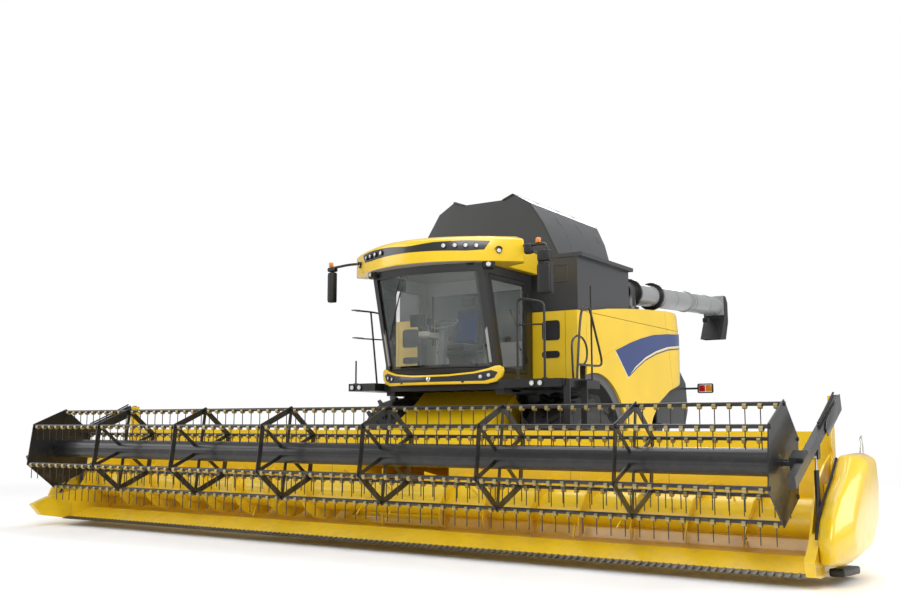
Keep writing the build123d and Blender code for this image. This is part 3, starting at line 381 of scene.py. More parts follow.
YELLOW = (0.83, 0.55, 0.01)
DARK = (0.036, 0.038, 0.041)
look = {
    "yellow_paint": painted("yellow enamel", YELLOW, 0.28, 0.5),
    "striped": painted("yellow enamel with a blue stripe", YELLOW, 0.28, 0.5, marks=stripe_marks,
                       seams=panel_seams),
    "brow": painted("yellow enamel with a black inset on the brow", YELLOW, 0.28, 0.5,
                    marks=inset_marks(BROW_TOP, BROW_FOOT)),
    "bumper": painted("yellow enamel with a black inset on the bumper", YELLOW, 0.28, 0.5,
                      marks=inset_marks(BUMPER_TOP, BUMPER_FOOT)),
    "shoulder": painted("yellow enamel with black wells", YELLOW, 0.28, 0.5, marks=shoulder_marks,
                        seams=shoulder_seams),
    "header_yellow": painted("yellow enamel in joined sheets", YELLOW, 0.3, 0.45, seams=header_seams),
    "dark_grey_paint": painted("dark grey enamel", DARK, 0.38, 0.25),
    "hood_grey": painted("black enamel in joined sheets", (0.03, 0.031, 0.033), 0.4, 0.2, seams=hood_seams),
    "black_paint": painted("black enamel", (0.007, 0.007, 0.008), 0.33, 0.3),
    "silver_paint": painted("silver grey enamel", (0.27, 0.275, 0.28), 0.33, 0.4, marks=tube_marks),
    "cab": painted("black cab enamel with a pale lining", (0.007, 0.007, 0.008), 0.36, 0.25, marks=cab_marks),
    "grey_plastic": moulded("grey plastic", (0.1, 0.104, 0.11), 0.5),
    "black_plastic": moulded("black plastic", (0.007, 0.007, 0.008), 0.42),
    "pale_plastic": moulded("pale warm plastic", (0.42, 0.4, 0.35), 0.5),
    "tyre": tyre_rubber("tyre rubber"),
    "rim_paint": painted("rim enamel", YELLOW, 0.35, 0.3),
    "cast_iron": cast("cast iron", (0.03, 0.03, 0.032)),
    "steel": metal("worn steel", (0.3, 0.3, 0.3), 0.4),
    "chrome": metal("hard chrome", (0.75, 0.76, 0.78), 0.12),
    "brass": metal("yellow passivated steel", (0.45, 0.36, 0.16), 0.35, 0.8),
    "glass": clear_glass("tinted glass with a black border", (0.35, 0.4, 0.4), 0.1, frit),
    "door_glass": clear_glass("tinted door glass", (0.35, 0.4, 0.4), 0.1),
    "seat_fabric": woven("blue seat fabric", (0.012, 0.05, 0.25)),
    "dark_fabric": woven("dark seat fabric", (0.02, 0.02, 0.023)),
    "clear_lens": lit("clear lamp glass", (0.8, 0.82, 0.82), 0.25),
    "amber_lens": lit("amber lamp glass", (0.8, 0.25, 0.01), 0.2),
    "red_lens": lit("red lamp glass", (0.5, 0.01, 0.01), 0.15),
    "mirror": metal("mirror glass", (0.6, 0.62, 0.64), 0.05, stroke=(1.0, 1.0, 1.0)),
    "rubber": moulded("hose rubber", (0.012, 0.012, 0.012), 0.6),
}
special = {
    "side_panel_left": "striped", "side_panel_right": "striped", "cab_roof": "brow", "front_bumper": "bumper",
    "shoulder_panels": "shoulder", "header_back": "header_yellow", "straw_hood": "hood_grey",
           "cab_shell": "cab",
    "cab_door_glass": "door_glass", "front_fenders": "grey_plastic",
}
slots = {row["node"]: row["material_slot"] for row in frame["record"]["subparts"]}
for name, cad in nodes.items():
    cad.data.materials.clear()
    cad.data.materials.append(look[special.get(name, slots[name])])


# Bowed front edges seen from above: half width, Y at the tips, Y in the middle.
BROW_BOW = (1.4, -2.7, -3.36)
BUMPER_BOW = (1.05, -2.54, -2.87)
DECK = 2.06                             # top of the platforms
ARCH_Y, ARCH_Z = -1.003, 1.043          # centre of the panels' wheel arch
TUBE_X = 1.33                           # the unloading tube's middle plane
NUT_RING = 0.42                         # nut ring's share of the rim's radius
NUTS = 10
REEL_BARS = 6


# ---- modelling ---------------------------------------------------------------
def only(*pieces):
    """Object mode with just these selected; the last one is active."""
    active = bpy.context.view_layer.objects.active
    if active and active.mode != "OBJECT":
        bpy.ops.object.mode_set(mode="OBJECT")
    bpy.ops.object.select_all(action="DESELECT")
    for piece in pieces:
        piece.select_set(True)
        bpy.context.view_layer.objects.active = piece


def settle(piece):
    """Puts the piece's place, turn and scale into its mesh."""
    only(piece)
    bpy.ops.object.transform_apply(location=True, rotation=True, scale=True)
    return piece


def cube(name, low, high):
    """A box between two corners, ready to be shaped."""
    only()
    low, high = Vector(low), Vector(high)
    bpy.ops.mesh.primitive_cube_add(size=1, location=(low + high) / 2, scale=high - low)
    bpy.context.object.name = name
    return settle(bpy.context.object)


def drum(name, place, radius, depth, sides=32, turn=(math.pi / 2, 0, 0)):
    """A cylinder about its place, lying along Y unless turned otherwise."""
    only()
    bpy.ops.mesh.primitive_cylinder_add(radius=radius, depth=depth, vertices=sides, location=place,
                                        rotation=turn)
    bpy.context.object.name = name
    return settle(bpy.context.object)


def choose(piece, test, kind="FACE"):
    """Edit mode with the faces or edges for which test(middle, normal) holds."""
    only(piece)
    bpy.ops.object.mode_set(mode="EDIT")
    bpy.ops.mesh.select_mode(type=kind)
    bpy.ops.mesh.select_all(action="DESELECT")
    mesh = bmesh.from_edit_mesh(piece.data)
    mesh.normal_update()
    if kind == "FACE":
        for face in mesh.faces:
            face.select_set(bool(test(face.calc_center_median(), face.normal)))
    else:
        for edge in mesh.edges:
            run = edge.verts[1].co - edge.verts[0].co
            edge.select_set(bool(test((edge.verts[0].co + edge.verts[1].co) / 2, run.normalized())))
    mesh.select_flush_mode()
    bmesh.update_edit_mesh(piece.data)


def sink(piece, test, thickness, depth):
    """Insets the chosen faces and moves them in (negative) or out (positive)."""
    choose(piece, test)
    bpy.ops.mesh.inset(thickness=thickness, depth=depth)
    bpy.ops.object.mode_set(mode="OBJECT")


def soften(piece, width, segments=2, limit=0.6):
    """A bevel on all the sharp edges, applied."""
    only(piece)
    rounding = piece.modifiers.new("edges", "BEVEL")
    rounding.width, rounding.segments = width, segments
    rounding.limit_method, rounding.angle_limit = "ANGLE", limit
    bpy.ops.object.modifier_apply(modifier=rounding.name)
    return piece


def outline_plate(name, outline, axis, low, high):
    """A plate of the outline's points, across the axis from low to high."""
    only()
    order = {"x": lambda a, b, c: (c, a, b), "y": lambda a, b, c: (a, c, b), "z": lambda a, b,
             c: (a, b, c)}[axis]
    shape = bpy.data.meshes.new(name)
    shape.from_pydata([order(a, b, low) for a, b in outline], [], [list(range(len(outline)))])
    piece = bpy.data.objects.new(name, shape)
    bpy.context.scene.collection.objects.link(piece)
    only(piece)
    bpy.ops.object.mode_set(mode="EDIT")
    bpy.ops.mesh.select_all(action="SELECT")
    bpy.ops.mesh.extrude_region_move(TRANSFORM_OT_translate={"value": order(0, 0, high - low)})
    bpy.ops.mesh.select_all(action="SELECT")
    bpy.ops.mesh.normals_make_consistent(inside=False)
    bpy.ops.object.mode_set(mode="OBJECT")
    return piece


def pipe(name, points, radius, sides=8):
    """A smooth round pipe or hose along the points, as a mesh."""
    only()
    bpy.ops.curve.primitive_nurbs_path_add()
    line = bpy.context.object
    line.name = name
    spline = line.data.splines[0]
    while len(spline.points) < len(points):
        spline.points.add(1)
    if len(spline.points) > len(points):
        line.data.splines.remove(spline)
        spline = line.data.splines.new("NURBS")
        spline.points.add(len(points) - 1)
    for knot, point in zip(spline.points, points):
        knot.co = (*point, 1.0)
    spline.order_u = min(3, len(points))
    spline.use_endpoint_u = True
    line.location = (0, 0, 0)
    line.data.bevel_depth, line.data.bevel_resolution, line.data.resolution_u = radius, max(1, sides // 4), 6
    line.data.use_fill_caps = True
    only(line)
    bpy.ops.object.convert(target="MESH")
    return settle(bpy.context.object)


def joined(name, pieces):
    only(*pieces)
    if len(pieces) > 1:
        bpy.ops.object.join()
    made = bpy.context.object
    made.name = name
    return made


def copies(name, piece, spots):
    """Copies of the piece, each moved by its own matrix, as one piece. The first model is used up."""
    made = []
    for spot in spots:
        twin = twin_of(piece)
        twin.matrix_world = spot
        made.append(settle(twin))
    bpy.data.objects.remove(piece, do_unlink=True)
    return joined(name, made)


def cloned(name, piece, spots):
    """As copies, for small parts repeated by the hundred: their meshes are put together in one step."""
    model = bmesh.new()
    model.from_mesh(piece.data)
    whole = bmesh.new()
    for spot in spots:
        part = model.copy()
        bmesh.ops.transform(part, matrix=spot, verts=part.verts)
        scratch = bpy.data.meshes.new("part")
        part.to_mesh(scratch)
        whole.from_mesh(scratch)
        bpy.data.meshes.remove(scratch)
        part.free()
    bpy.data.objects.remove(piece, do_unlink=True)
    shape = bpy.data.meshes.new(name)
    whole.to_mesh(shape)
    whole.free()
    model.free()
    made = bpy.data.objects.new(name, shape)
    bpy.context.scene.collection.objects.link(made)
    return made


def done(piece, body, finish, angle=40):
    """Smooths, gives the finish, and lets the piece ride on its body."""
    only(piece)
    bpy.ops.object.shade_smooth_by_angle(angle=math.radians(angle))
    piece.data.materials.clear()
    piece.data.materials.append(look[finish])
    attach(piece, body)
    return piece


def at(x, y, z, turn_z=0.0, turn_x=0.0, size=1.0):
    return (Matrix.Translation((x, y, z)) @ Matrix.Rotation(turn_z, 4, "Z") @ Matrix.Rotation(turn_x, 4, "X")
            @ Matrix.Scale(size, 4))


# ---- lamps -------------------------------------------------------------------
def lamp_bezel(radius):
    """Round housing about the origin, open towards -Y, with a raised lip and a sunk dish."""
    piece = drum("bezel", (0, 0, 0), radius, 0.02)
    sink(piece, lambda middle, normal: normal.y < -0.9, radius * 0.12, 0.004)
    sink(piece, lambda middle, normal: normal.y < -0.9, radius * 0.08, -0.012)
    return soften(piece, 0.0015, 1)


def lamp_glass(radius):
    """Domed lamp glass about the origin."""
    piece = drum("glass", (0, 0, 0), radius * 0.8, 0.012, 24)
    sink(piece, lambda middle, normal: normal.y < -0.9, radius * 0.2, 0.004)
    sink(piece, lambda middle, normal: normal.y < -0.9, radius * 0.25, 0.002)
    return piece


def lamps(name, rows, radius, body="chassis", glass="clear_lens"):
    spots = [at(*row) for row in rows]
    done(copies(name + "_bezels", lamp_bezel(radius), spots), body, "black_plastic")
    done(copies(name + "_glasses", lamp_glass(radius), spots), body, glass, 60)


def bowed(x, half, tip_y, mid_y):
    """Y and turn of a bowed front edge at x."""
    sag = tip_y - mid_y
    radius = (half * half + sag * sag) / (2 * sag)
    return mid_y + sag * (x / half) ** 2, math.asin(x / radius)


def make_lamps():
    brow = []
    for x, z in ((0.514, 3.815), (0.655, 3.815), (0.784, 3.812), (0.906, 3.809), (1.15, 3.74)):
        for side in (1, -1):
            y, turn = bowed(side * x, *BROW_BOW)
            brow.append((side * x + 0.013 * math.sin(turn), y - 0.013, z, turn))
    lamps("brow_lamps", brow, 0.035)
    bumper = []
    for x, z in ((0.73, 2.108), (0.83, 2.128)):
        for side in (1, -1):
            y, turn = bowed(side * x, *BUMPER_BOW)
            bumper.append((side * x, y - 0.003, z, turn))
    lamps("bumper_lamps", bumper, 0.031)
    lamps("platform_lamps", [(x, -2.738, 2.003) for x in (1.52, 1.64, -1.3, -1.43)], 0.043)
    lamps("tube_lamp", [(TUBE_X, 4.715, 3.48, math.pi)], 0.042, "unloader")
    # Caps over the outer brow lamps, and work lamps under the brow.
    caps = []
    for side in (1, -1):
        y, turn = bowed(side * 1.15, *BROW_BOW)
        cap = drum("cap", (0, 0, 0), 0.052, 0.07, 24)
        choose(cap, lambda middle, normal: middle.z < 0.01)
        bpy.ops.mesh.delete(type="FACE")
        bpy.ops.object.mode_set(mode="OBJECT")
        wall = cap.modifiers.new("wall", "SOLIDIFY")
        wall.thickness = 0.006
        only(cap)
        bpy.ops.object.modifier_apply(modifier=wall.name)
        cap.matrix_world = at(side * 1.15, y - 0.012, 3.745, turn)
        caps.append(settle(cap))
    done(joined("lamp_caps", caps), "chassis", "black_plastic")
    pods = []
    for x, y, z, turn in ((1.0, -2.93, 3.565, 0.5), (-0.86, -2.98, 3.575, -0.4)):
        pod = cube("pod", (-0.085, -0.06, -0.06), (0.085, 0.06, 0.06))
        soften(pod, 0.035, 4)
        sink(pod, lambda middle, normal: normal.y < -0.95, 0.006, -0.01)
        pod.matrix_world = at(x, y, z, turn)
        pods.append(settle(pod))
        stalk = drum("stalk", (x, y + 0.01, z + 0.05), 0.014, 0.13, 12, (0, 0, 0))
        pods.append(stalk)
    done(joined("brow_pods", pods), "chassis", "black_plastic")
    lamps("pod_lamps", [(1.0 + 0.057 * math.sin(0.5), -2.93 - 0.057 * math.cos(0.5), 3.565, 0.5),
                        (-0.86 - 0.057 * math.sin(0.4), -2.98 - 0.057 * math.cos(0.4), 3.575, -0.4)], 0.042)


def make_badge():
    """Plain round button in the middle of the bumper."""
    y, _ = bowed(0, *BUMPER_BOW)
    button = drum("bumper_button", (0, y + 0.004, 2.082), 0.036, 0.03)
    sink(button, lambda middle, normal: normal.y < -0.9, 0.008, 0.004)
    sink(button, lambda middle, normal: normal.y < -0.9, 0.012, 0.003)
    done(soften(button, 0.002, 2), "chassis", "chrome")


# ---- mirrors -----------------------------------------------------------------
def mirror_case(name, low, high):
    """Rounded housing whose back is sunk round the glass."""
    case = cube(name, low, high)
    choose(case, lambda middle, normal: normal.y < -0.9)
    bpy.ops.mesh.inset(thickness=0.03, depth=0.025)
    bpy.ops.object.mode_set(mode="OBJECT")
    soften(case, 0.022, 4)
    sink(case, lambda middle, normal: normal.y > 0.95 and abs(middle.y - high[1]) < 0.004, 0.008, -0.008)
    return case


def make_mirrors():
    left_low, left_high = (1.64, -2.795, 3.14), (1.86, -2.72, 3.54)
    right_low, right_high = (-1.88, -2.79, 3.27), (-1.76, -2.7, 3.72)
    cases = [mirror_case("case", left_low, left_high), mirror_case("case", right_low, right_high)]
    # Smaller round-cornered heads above the left case, and the clamps at the brow.
    for low, high in (((1.64, -2.8, 3.57), (1.83, -2.7, 3.72)), ((1.43, -2.77, 3.69), (1.55, -2.68, 3.83)),
                      ((-1.9, -2.79, 3.73), (-1.76, -2.68, 3.8))):
        head = cube("head", low, high)
        cases.append(soften(head, 0.03, 4))
    arms = [
        pipe("arm", [(1.375, -2.68, 3.82), (1.48, -2.72, 3.8), (1.62, -2.74, 3.81), (1.77, -2.755, 3.8),
                     (1.77, -2.75, 3.68), (1.75, -2.75, 3.5)], 0.019, 12),
        pipe("arm", [(1.5, -2.72, 3.74), (1.64, -2.74, 3.68), (1.72, -2.75, 3.64)], 0.014, 12),
        pipe("arm", [(-1.375, -2.68, 3.82), (-1.52, -2.71, 3.82), (-1.7, -2.73, 3.8), (-1.84, -2.74, 3.79),
                     (-1.83, -2.74, 3.7)], 0.019, 12),
    ]
    housings = done(joined("mirror_cases", cases), "chassis", "black_plastic")
    done(joined("mirror_arms", arms), "chassis", "black_paint")
    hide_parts("mirrors")
    glasses = []
    for low, high in ((left_low, left_high), (right_low, right_high)):
        pane = cube("pane", (low[0] + 0.024, high[1] - 0.009, low[2] + 0.024),
                    (high[0] - 0.024, high[1] - 0.004, high[2] - 0.024))
        glasses.append(soften(pane, 0.0015, 1))
    done(joined("mirror_glasses", glasses), "chassis", "mirror")
    # Amber lamps on the outer arms.
    domes = []
    for x, y, z in ((1.64, -2.74, 3.825), (-1.86, -2.73, 3.808)):
        dome = drum("dome", (x, y, z + 0.03), 0.036, 0.06, 24, (0, 0, 0))
        sink(dome, lambda middle, normal: normal.z > 0.9, 0.012, 0.008)
        domes.append(soften(dome, 0.006, 3))
    done(joined("side_beacons", domes), "chassis", "amber_lens", 60)


# ---- cab ---------------------------------------------------------------------
def on_screen(x, z, out=0.012):
    """A point just ahead of the windscreen."""
    hit, place, _, _ = nodes["cab_glass"].ray_cast(Vector((x, -5.0, z)), Vector((0, 1, 0)))
    return (x, (place.y if hit else -3.0) - out, z)


def make_wiper():
    arm = pipe("arm", [on_screen(-0.3, 3.62, 0.05), on_screen(-0.34, 3.5, 0.05),
                       on_screen(-0.46, 3.25, 0.035)], 0.011)
    blade = pipe("blade", [on_screen(-0.24 - 0.1 * i, 3.5 - 0.17 * i, 0.02) for i in range(6)], 0.009)
    pivot = drum("pivot", on_screen(-0.3, 3.62, 0.03), 0.03, 0.06, 20)
    parts = [arm, blade, soften(pivot, 0.004, 2)]
    done(joined("wiper", parts), "chassis", "black_plastic")
    # Head and foot mouldings of the screen.
    rims = []
    for z, thick in ((3.585, 0.03), (2.245, 0.022)):
        rims.append(pipe("rim", [on_screen(-0.8 + 0.2 * i, z, 0.006) for i in range(9)], thick / 2, 8))
    done(joined("screen_mouldings", rims), "chassis", "rubber")


def leaned(piece, hub, turn):
    """Turns the piece about a line through the hub, across the machine."""
    piece.matrix_world = Matrix.Translation(hub) @ Matrix.Rotation(turn, 4, "X") @ Matrix.Translation(-hub)
    settle(piece)


def make_seat():
    """Sprung seat with padded cushions, a headrest and a control armrest."""
    floor = 2.14
    base = cube("seat_base", (-0.2, -2.18, floor), (0.2, -1.9, floor + 0.34))
    for _ in range(4):
        sink(base, lambda middle, normal: abs(normal.z) < 0.3 and abs(middle.z - floor - 0.17) < 0.15,
             0.02, -0.012)
    soften(base, 0.012, 2)
    tray = cube("tray", (-0.25, -2.3, floor + 0.335), (0.25, -1.86, floor + 0.37))
    shell = cube("shell", (-0.235, -1.86, floor + 0.4), (0.235, -1.8, floor + 1.0))
    sink(shell, lambda middle, normal: normal.y > 0.9, 0.05, 0.02)
    leaned(shell, Vector((0, -1.83, floor + 0.4)), -0.09)
    frame_piece = done(joined("seat_frame", [base, soften(tray, 0.01, 2), soften(shell, 0.03, 3)]),
                       "chassis", "black_plastic")
    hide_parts("operator_seat")
    pad("seat_cushion", (-0.245, -2.33, floor + 0.375), (0.245, -1.87, floor + 0.47), 0.0, "dark_fabric")
    pad("seat_back", (-0.2, -1.955, floor + 0.47), (0.2, -1.875, floor + 0.98), -0.09, "seat_fabric")
    pad("headrest", (-0.125, -1.92, floor + 1.03), (0.125, -1.84, floor + 1.2), -0.09, "dark_fabric")
    arm = cube("console", (-0.47, -2.4, floor + 0.56), (-0.28, -1.85, floor + 0.64))
    choose(arm, lambda middle, normal: normal.y < -0.9)
    bpy.ops.mesh.extrude_region_move(TRANSFORM_OT_translate={"value": (0, -0.05, 0.02)})
    bpy.ops.object.mode_set(mode="OBJECT")
    soften(arm, 0.018, 3)
    sink(arm, lambda middle, normal: normal.z > 0.95 and -2.38 < middle.y < -1.9, 0.012, -0.006)
    post = cube("post", (-0.43, -2.06, floor), (-0.32, -1.97, floor + 0.562))
    sink(post, lambda middle, normal: abs(normal.x) > 0.9, 0.02, -0.008)
    done(joined("control_console", [arm, soften(post, 0.008, 2)]), "chassis", "pale_plastic")
    lever = pipe("lever", [(-0.375, -2.25, floor + 0.635), (-0.375, -2.27, floor + 0.7),
                           (-0.372, -2.3, floor + 0.76)], 0.012)
    knob = cube("knob", (-0.405, -2.34, floor + 0.75), (-0.345, -2.27, floor + 0.86))
    screen = cube("screen", (-0.6, -2.46, floor + 0.72), (-0.36, -2.43, floor + 0.9))
    sink(screen, lambda middle, normal: normal.y > 0.9, 0.012, -0.006)
    stem = pipe("stem", [(-0.44, -2.36, floor + 0.62), (-0.46, -2.42, floor + 0.68),
                         (-0.48, -2.44, floor + 0.74)], 0.011)
    done(joined("control_lever", [lever, soften(knob, 0.02, 3), soften(screen, 0.006, 2), stem]), "chassis",
         "black_plastic")


def pad(name, low, high, lean, finish):
    """A stuffed cushion: a boxy pad blown up by cloth, tight at its edges, with two sewn channels across it.
    """
    piece = cube(name, Vector(low) + Vector((0.012, 0.012, 0.012)),
                 Vector(high) - Vector((0.012, 0.012, 0.012)))
    soften(piece, 0.022, 3)
    only(piece)
    skin = piece.modifiers.new("skin", "REMESH")
    skin.mode, skin.voxel_size = "VOXEL", 0.011
    bpy.ops.object.modifier_apply(modifier=skin.name)
    before = [v.co.copy() for v in piece.data.vertices]
    cloth = piece.modifiers.new("cloth", "CLOTH")
    cloth.settings.use_pressure = True
    cloth.settings.uniform_pressure_force = 4.0
    cloth.settings.effector_weights.gravity = 0.0
    for step in range(1, 21):
        bpy.context.scene.frame_set(step)
    only(piece)
    bpy.ops.object.modifier_apply(modifier=cloth.name)
    bpy.context.scene.frame_set(1)
    for vertex, old in zip(piece.data.vertices, before):
        move = vertex.co - old
        if move.length > 0.014:
            vertex.co = old + move.normalized() * 0.014
    low, high = Vector(low), Vector(high)
    middle, size = (low + high) / 2, high - low
    thin = min(range(3), key=lambda i: size[i])
    wide = [i for i in range(3) if i != thin]
    for vertex in piece.data.vertices:
        # Sewn channels across the pad, one third in from each side.
        share = (vertex.co[wide[0]] - middle[wide[0]]) / size[wide[0]]
        groove = sum(math.exp(-((share - s) / 0.025) ** 2) for s in (-0.27, 0.27))
        side = 1 if vertex.co[thin] > middle[thin] else -1
        if abs(vertex.co[thin] - middle[thin]) > size[thin] * 0.25:
            vertex.co[thin] -= side * 0.007 * groove
    finer = piece.modifiers.new("finer", "SUBSURF")
    finer.levels = finer.render_levels = 1
    only(piece)
    bpy.ops.object.modifier_apply(modifier=finer.name)
    if lean:
        leaned(piece, Vector((0, -1.83, 2.54)), lean)
    done(piece, "chassis", finish, 60)


# ---- shaped panels -----------------------------------------------------------
def lofted(name, sections):
    """A body through outlines of (y, z) points, each at its own x, with as many points in each."""
    only()
    (x, outline), rest = sections[0], sections[1:]
    shape = bpy.data.meshes.new(name)
    shape.from_pydata([(x, y, z) for y, z in outline], [], [list(range(len(outline)))])
    piece = bpy.data.objects.new(name, shape)
    bpy.context.scene.collection.objects.link(piece)
    only(piece)
    bpy.ops.object.mode_set(mode="EDIT")
    bpy.ops.mesh.select_all(action="SELECT")
    for next_x, next_outline in rest:
        bpy.ops.mesh.extrude_region_move(TRANSFORM_OT_translate={"value": (next_x - x, 0, 0)})
        mesh = bmesh.from_edit_mesh(piece.data)
        moved = [v for v in mesh.verts if v.select]
        for vertex in moved:
            here = (vertex.co.y, vertex.co.z)
            nearest = min(range(len(outline)), key=lambda i: math.dist(here, outline[i]))
            vertex.co.y, vertex.co.z = next_outline[nearest]
        bmesh.update_edit_mesh(piece.data)
        x, outline = next_x, next_outline
    bpy.ops.mesh.select_all(action="SELECT")
    bpy.ops.mesh.normals_make_consistent(inside=False)
    bpy.ops.object.mode_set(mode="OBJECT")
    return piece


def carve(piece, tool, how="DIFFERENCE"):
    """Cuts the tool's shape out of the piece, or keeps only what lies inside it."""
    only(piece)
    cut = piece.modifiers.new("cut", "BOOLEAN")
    cut.operation, cut.solver, cut.object = how, "EXACT", tool
    bpy.ops.object.modifier_apply(modifier=cut.name)
    bpy.data.objects.remove(tool, do_unlink=True)
    return piece


def sliced(piece, point, normal, keep_below=True):
    """Cuts the piece by a plane and keeps one side, closed. With keep_below None both sides stay."""
    only(piece)
    bpy.ops.object.mode_set(mode="EDIT")
    bpy.ops.mesh.select_all(action="SELECT")
    bpy.ops.mesh.bisect(plane_co=point, plane_no=normal, use_fill=keep_below is not None,
                        clear_outer=keep_below is True, clear_inner=keep_below is False)
    bpy.ops.object.mode_set(mode="OBJECT")
    return piece


def twin_of(piece):
    twin = piece.copy()
    twin.data = piece.data.copy()
    bpy.context.scene.collection.objects.link(twin)
    return twin


def face_outwards(piece):
    choose(piece, lambda middle, normal: True)
    bpy.ops.mesh.normals_make_consistent(inside=False)
    bpy.ops.object.mode_set(mode="OBJECT")


def other_side(piece, name):
    """A twin across the middle plane, right side out."""
    twin = twin_of(piece)
    twin.matrix_world = Matrix.Diagonal((-1, 1, 1, 1))
    settle(twin)
    face_outwards(twin)
    twin.name = name
    return twin


def mirrored(outline):
    """Closed outline from its left half's points, top first."""
    return outline + [(-x, z) for x, z in outline[::-1]]


def bow_points(half, tip_y, mid_y, count=24):
    return [(half * (1 - 2 * i / count), bowed(half * (1 - 2 * i / count), half, tip_y, mid_y)[0])
            for i in range(count + 1)]


def make_roof():
    """Flat roof with a deep bowed brow and a crowned top."""
    plan = bow_points(*BROW_BOW) + [(-1.33, -2.56), (-1.01, -2.42), (-1.01, -1.56), (1.01, -1.56),
                                    (1.01, -2.42),
                                            (1.33, -2.56)]
    roof = outline_plate("cab_roof_shell", plan, "z", 3.602, 3.9)
    sink(roof, lambda middle, normal: normal.z > 0.9, 0.04, 0.022)
    sink(roof, lambda middle, normal: normal.z > 0.9, 0.06, 0.03)
    soften(roof, 0.014, 3)
    done(roof, "chassis", "brow", 35)
    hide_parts("cab_roof")
    # Roof hatch.
    hatch = cube("hatch", (-0.33, -2.45, 3.945), (0.33, -1.85, 3.975))
    soften(hatch, 0.02, 3)
    sink(hatch, lambda middle, normal: normal.z > 0.9, 0.05, -0.006)
    done(hatch, "chassis", "black_plastic")


def make_bumper():
    """Bowed band under the windscreen, its ends rounded and swept up."""
    outline = mirrored([(0.06, 2.142), (0.3, 2.145), (0.64, 2.175), (0.82, 2.22), (0.9, 2.252),
                        (0.955, 2.258), (0.995, 2.232),
                        (1.004, 2.19), (0.985, 2.11), (0.92, 2.04), (0.8, 2.012), (0.3, 2.01), (0.06, 2.01)])
    bar = outline_plate("front_bumper_band", outline, "y", -3.0, -2.4)
    front, rear = bow_points(*BUMPER_BOW), bow_points(1.05, -2.5, -2.79)
    band = outline_plate("band", front + rear[::-1], "z", 1.9, 2.4)
    bar = carve(bar, band, "INTERSECT")
    soften(bar, 0.012, 3, 0.9)
    done(bar, "chassis", "bumper", 35)
    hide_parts("front_bumper")
    brackets = []
    for side in (1, -1):
        bracket = cube("bracket", (side * 0.5 - 0.02, -2.8, 2.03), (side * 0.5 + 0.02, -2.548, 2.055))
        brackets.append(soften(bracket, 0.004, 2))
    done(joined("bumper_brackets", brackets), "chassis", "black_paint")


PANEL_LINE = [(-1.286, 2.16), (-1.286, 3.073), (-0.52, 3.178), (0.195, 3.248), (0.97, 3.312), (1.9, 3.372),
              (2.3, 3.378),
              (2.55, 3.34), (2.7, 3.24), (2.79, 3.1), (2.85, 2.82), (2.85, 2.45), (2.76, 2.24),
              (2.384, 2.147),
              (1.895, 2.035), (1.422, 1.835), (1.13, 1.586), (0.96, 1.33), (0.04, 1.33)]
CREASE = [(-1.3, 2.12), (-0.9, 2.4), (-0.31, 2.59), (0.25, 2.74), (0.67, 2.835), (1.2, 2.93), (1.82, 2.99),
          (2.95, 3.06),
          (2.95, 1.2), (-1.3, 1.2)]
PANEL_SPLIT = 3.062      # the hinged part ends here, and the fixed coaming stands above it
BEND_Y, BEND_IN = 2.2, 0.3


def bent_in(piece):
    """Draws the rear end of a side panel in towards the middle, and rounds it in plan."""
    for y in (0.6, 1.2, 1.7, 2.0, 2.2, 2.35, 2.5, 2.6, 2.7, 2.78):
        sliced(piece, (0, y, 0), (0, 1, 0), None)
    for z in (2.2, 2.5, 2.8, 3.1):
        sliced(piece, (0, 0, z), (0, 0, 1), None)
    for vertex in piece.data.vertices:
        y, z = vertex.co.y, vertex.co.z
        if y > BEND_Y:
            vertex.co.x -= BEND_IN * ((y - BEND_Y) / (2.85 - BEND_Y)) ** 2.4
        # A slight belly below and a lean at the top.
        belly = math.sin(min(1.0, max(0.0, (z - 2.1) / 1.2)) * math.pi)
        lean = max(0.0, (z - 2.95) / 0.4) ** 2
        vertex.co.x += 0.012 * belly - 0.02 * lean


def make_side_panels():
    """Curved side panels with a wheel arch and a crease: a hinged skin and the fixed coaming above."""
    skin = outline_plate("skin", PANEL_LINE, "x", 1.588, 1.612)
    proud = outline_plate("proud", PANEL_LINE, "x", 1.6, 1.624)
    proud = carve(proud, outline_plate("below", CREASE, "x", 1.5, 1.7), "INTERSECT")
    pieces = []
    for plate in (skin, proud):
        arch = drum("arch", (1.6, ARCH_Y, ARCH_Z), 1.163, 0.4, 96, (0, math.pi / 2, 0))
        carve(plate, arch)
        pieces.append(plate)
    lower, upper = [], []
    for plate in pieces:
        bent_in(plate)
        crown = twin_of(plate)
        lower.append(sliced(plate, (0, 0, PANEL_SPLIT - 0.004), (0, 0, 1), True))
        upper.append(sliced(crown, (0, 0, PANEL_SPLIT + 0.004), (0, 0, 1), False))
    for plate in [plate for plate in upper if not plate.data.vertices]:
        upper.remove(plate)
        bpy.data.objects.remove(plate, do_unlink=True)
    left = joined("side_panel_skin_left", lower)
    right = other_side(left, "side_panel_skin_right")
    crown = joined("coaming_left", upper)
    crowns = joined("side_coamings", [crown, other_side(crown, "coaming_right")])
    for piece, side in ((left, "left"), (right, "right")):
        done(piece, "panel_" + side, "striped", 25)
        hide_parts("side_panel_" + side)
    done(crowns, "chassis", "striped", 25)


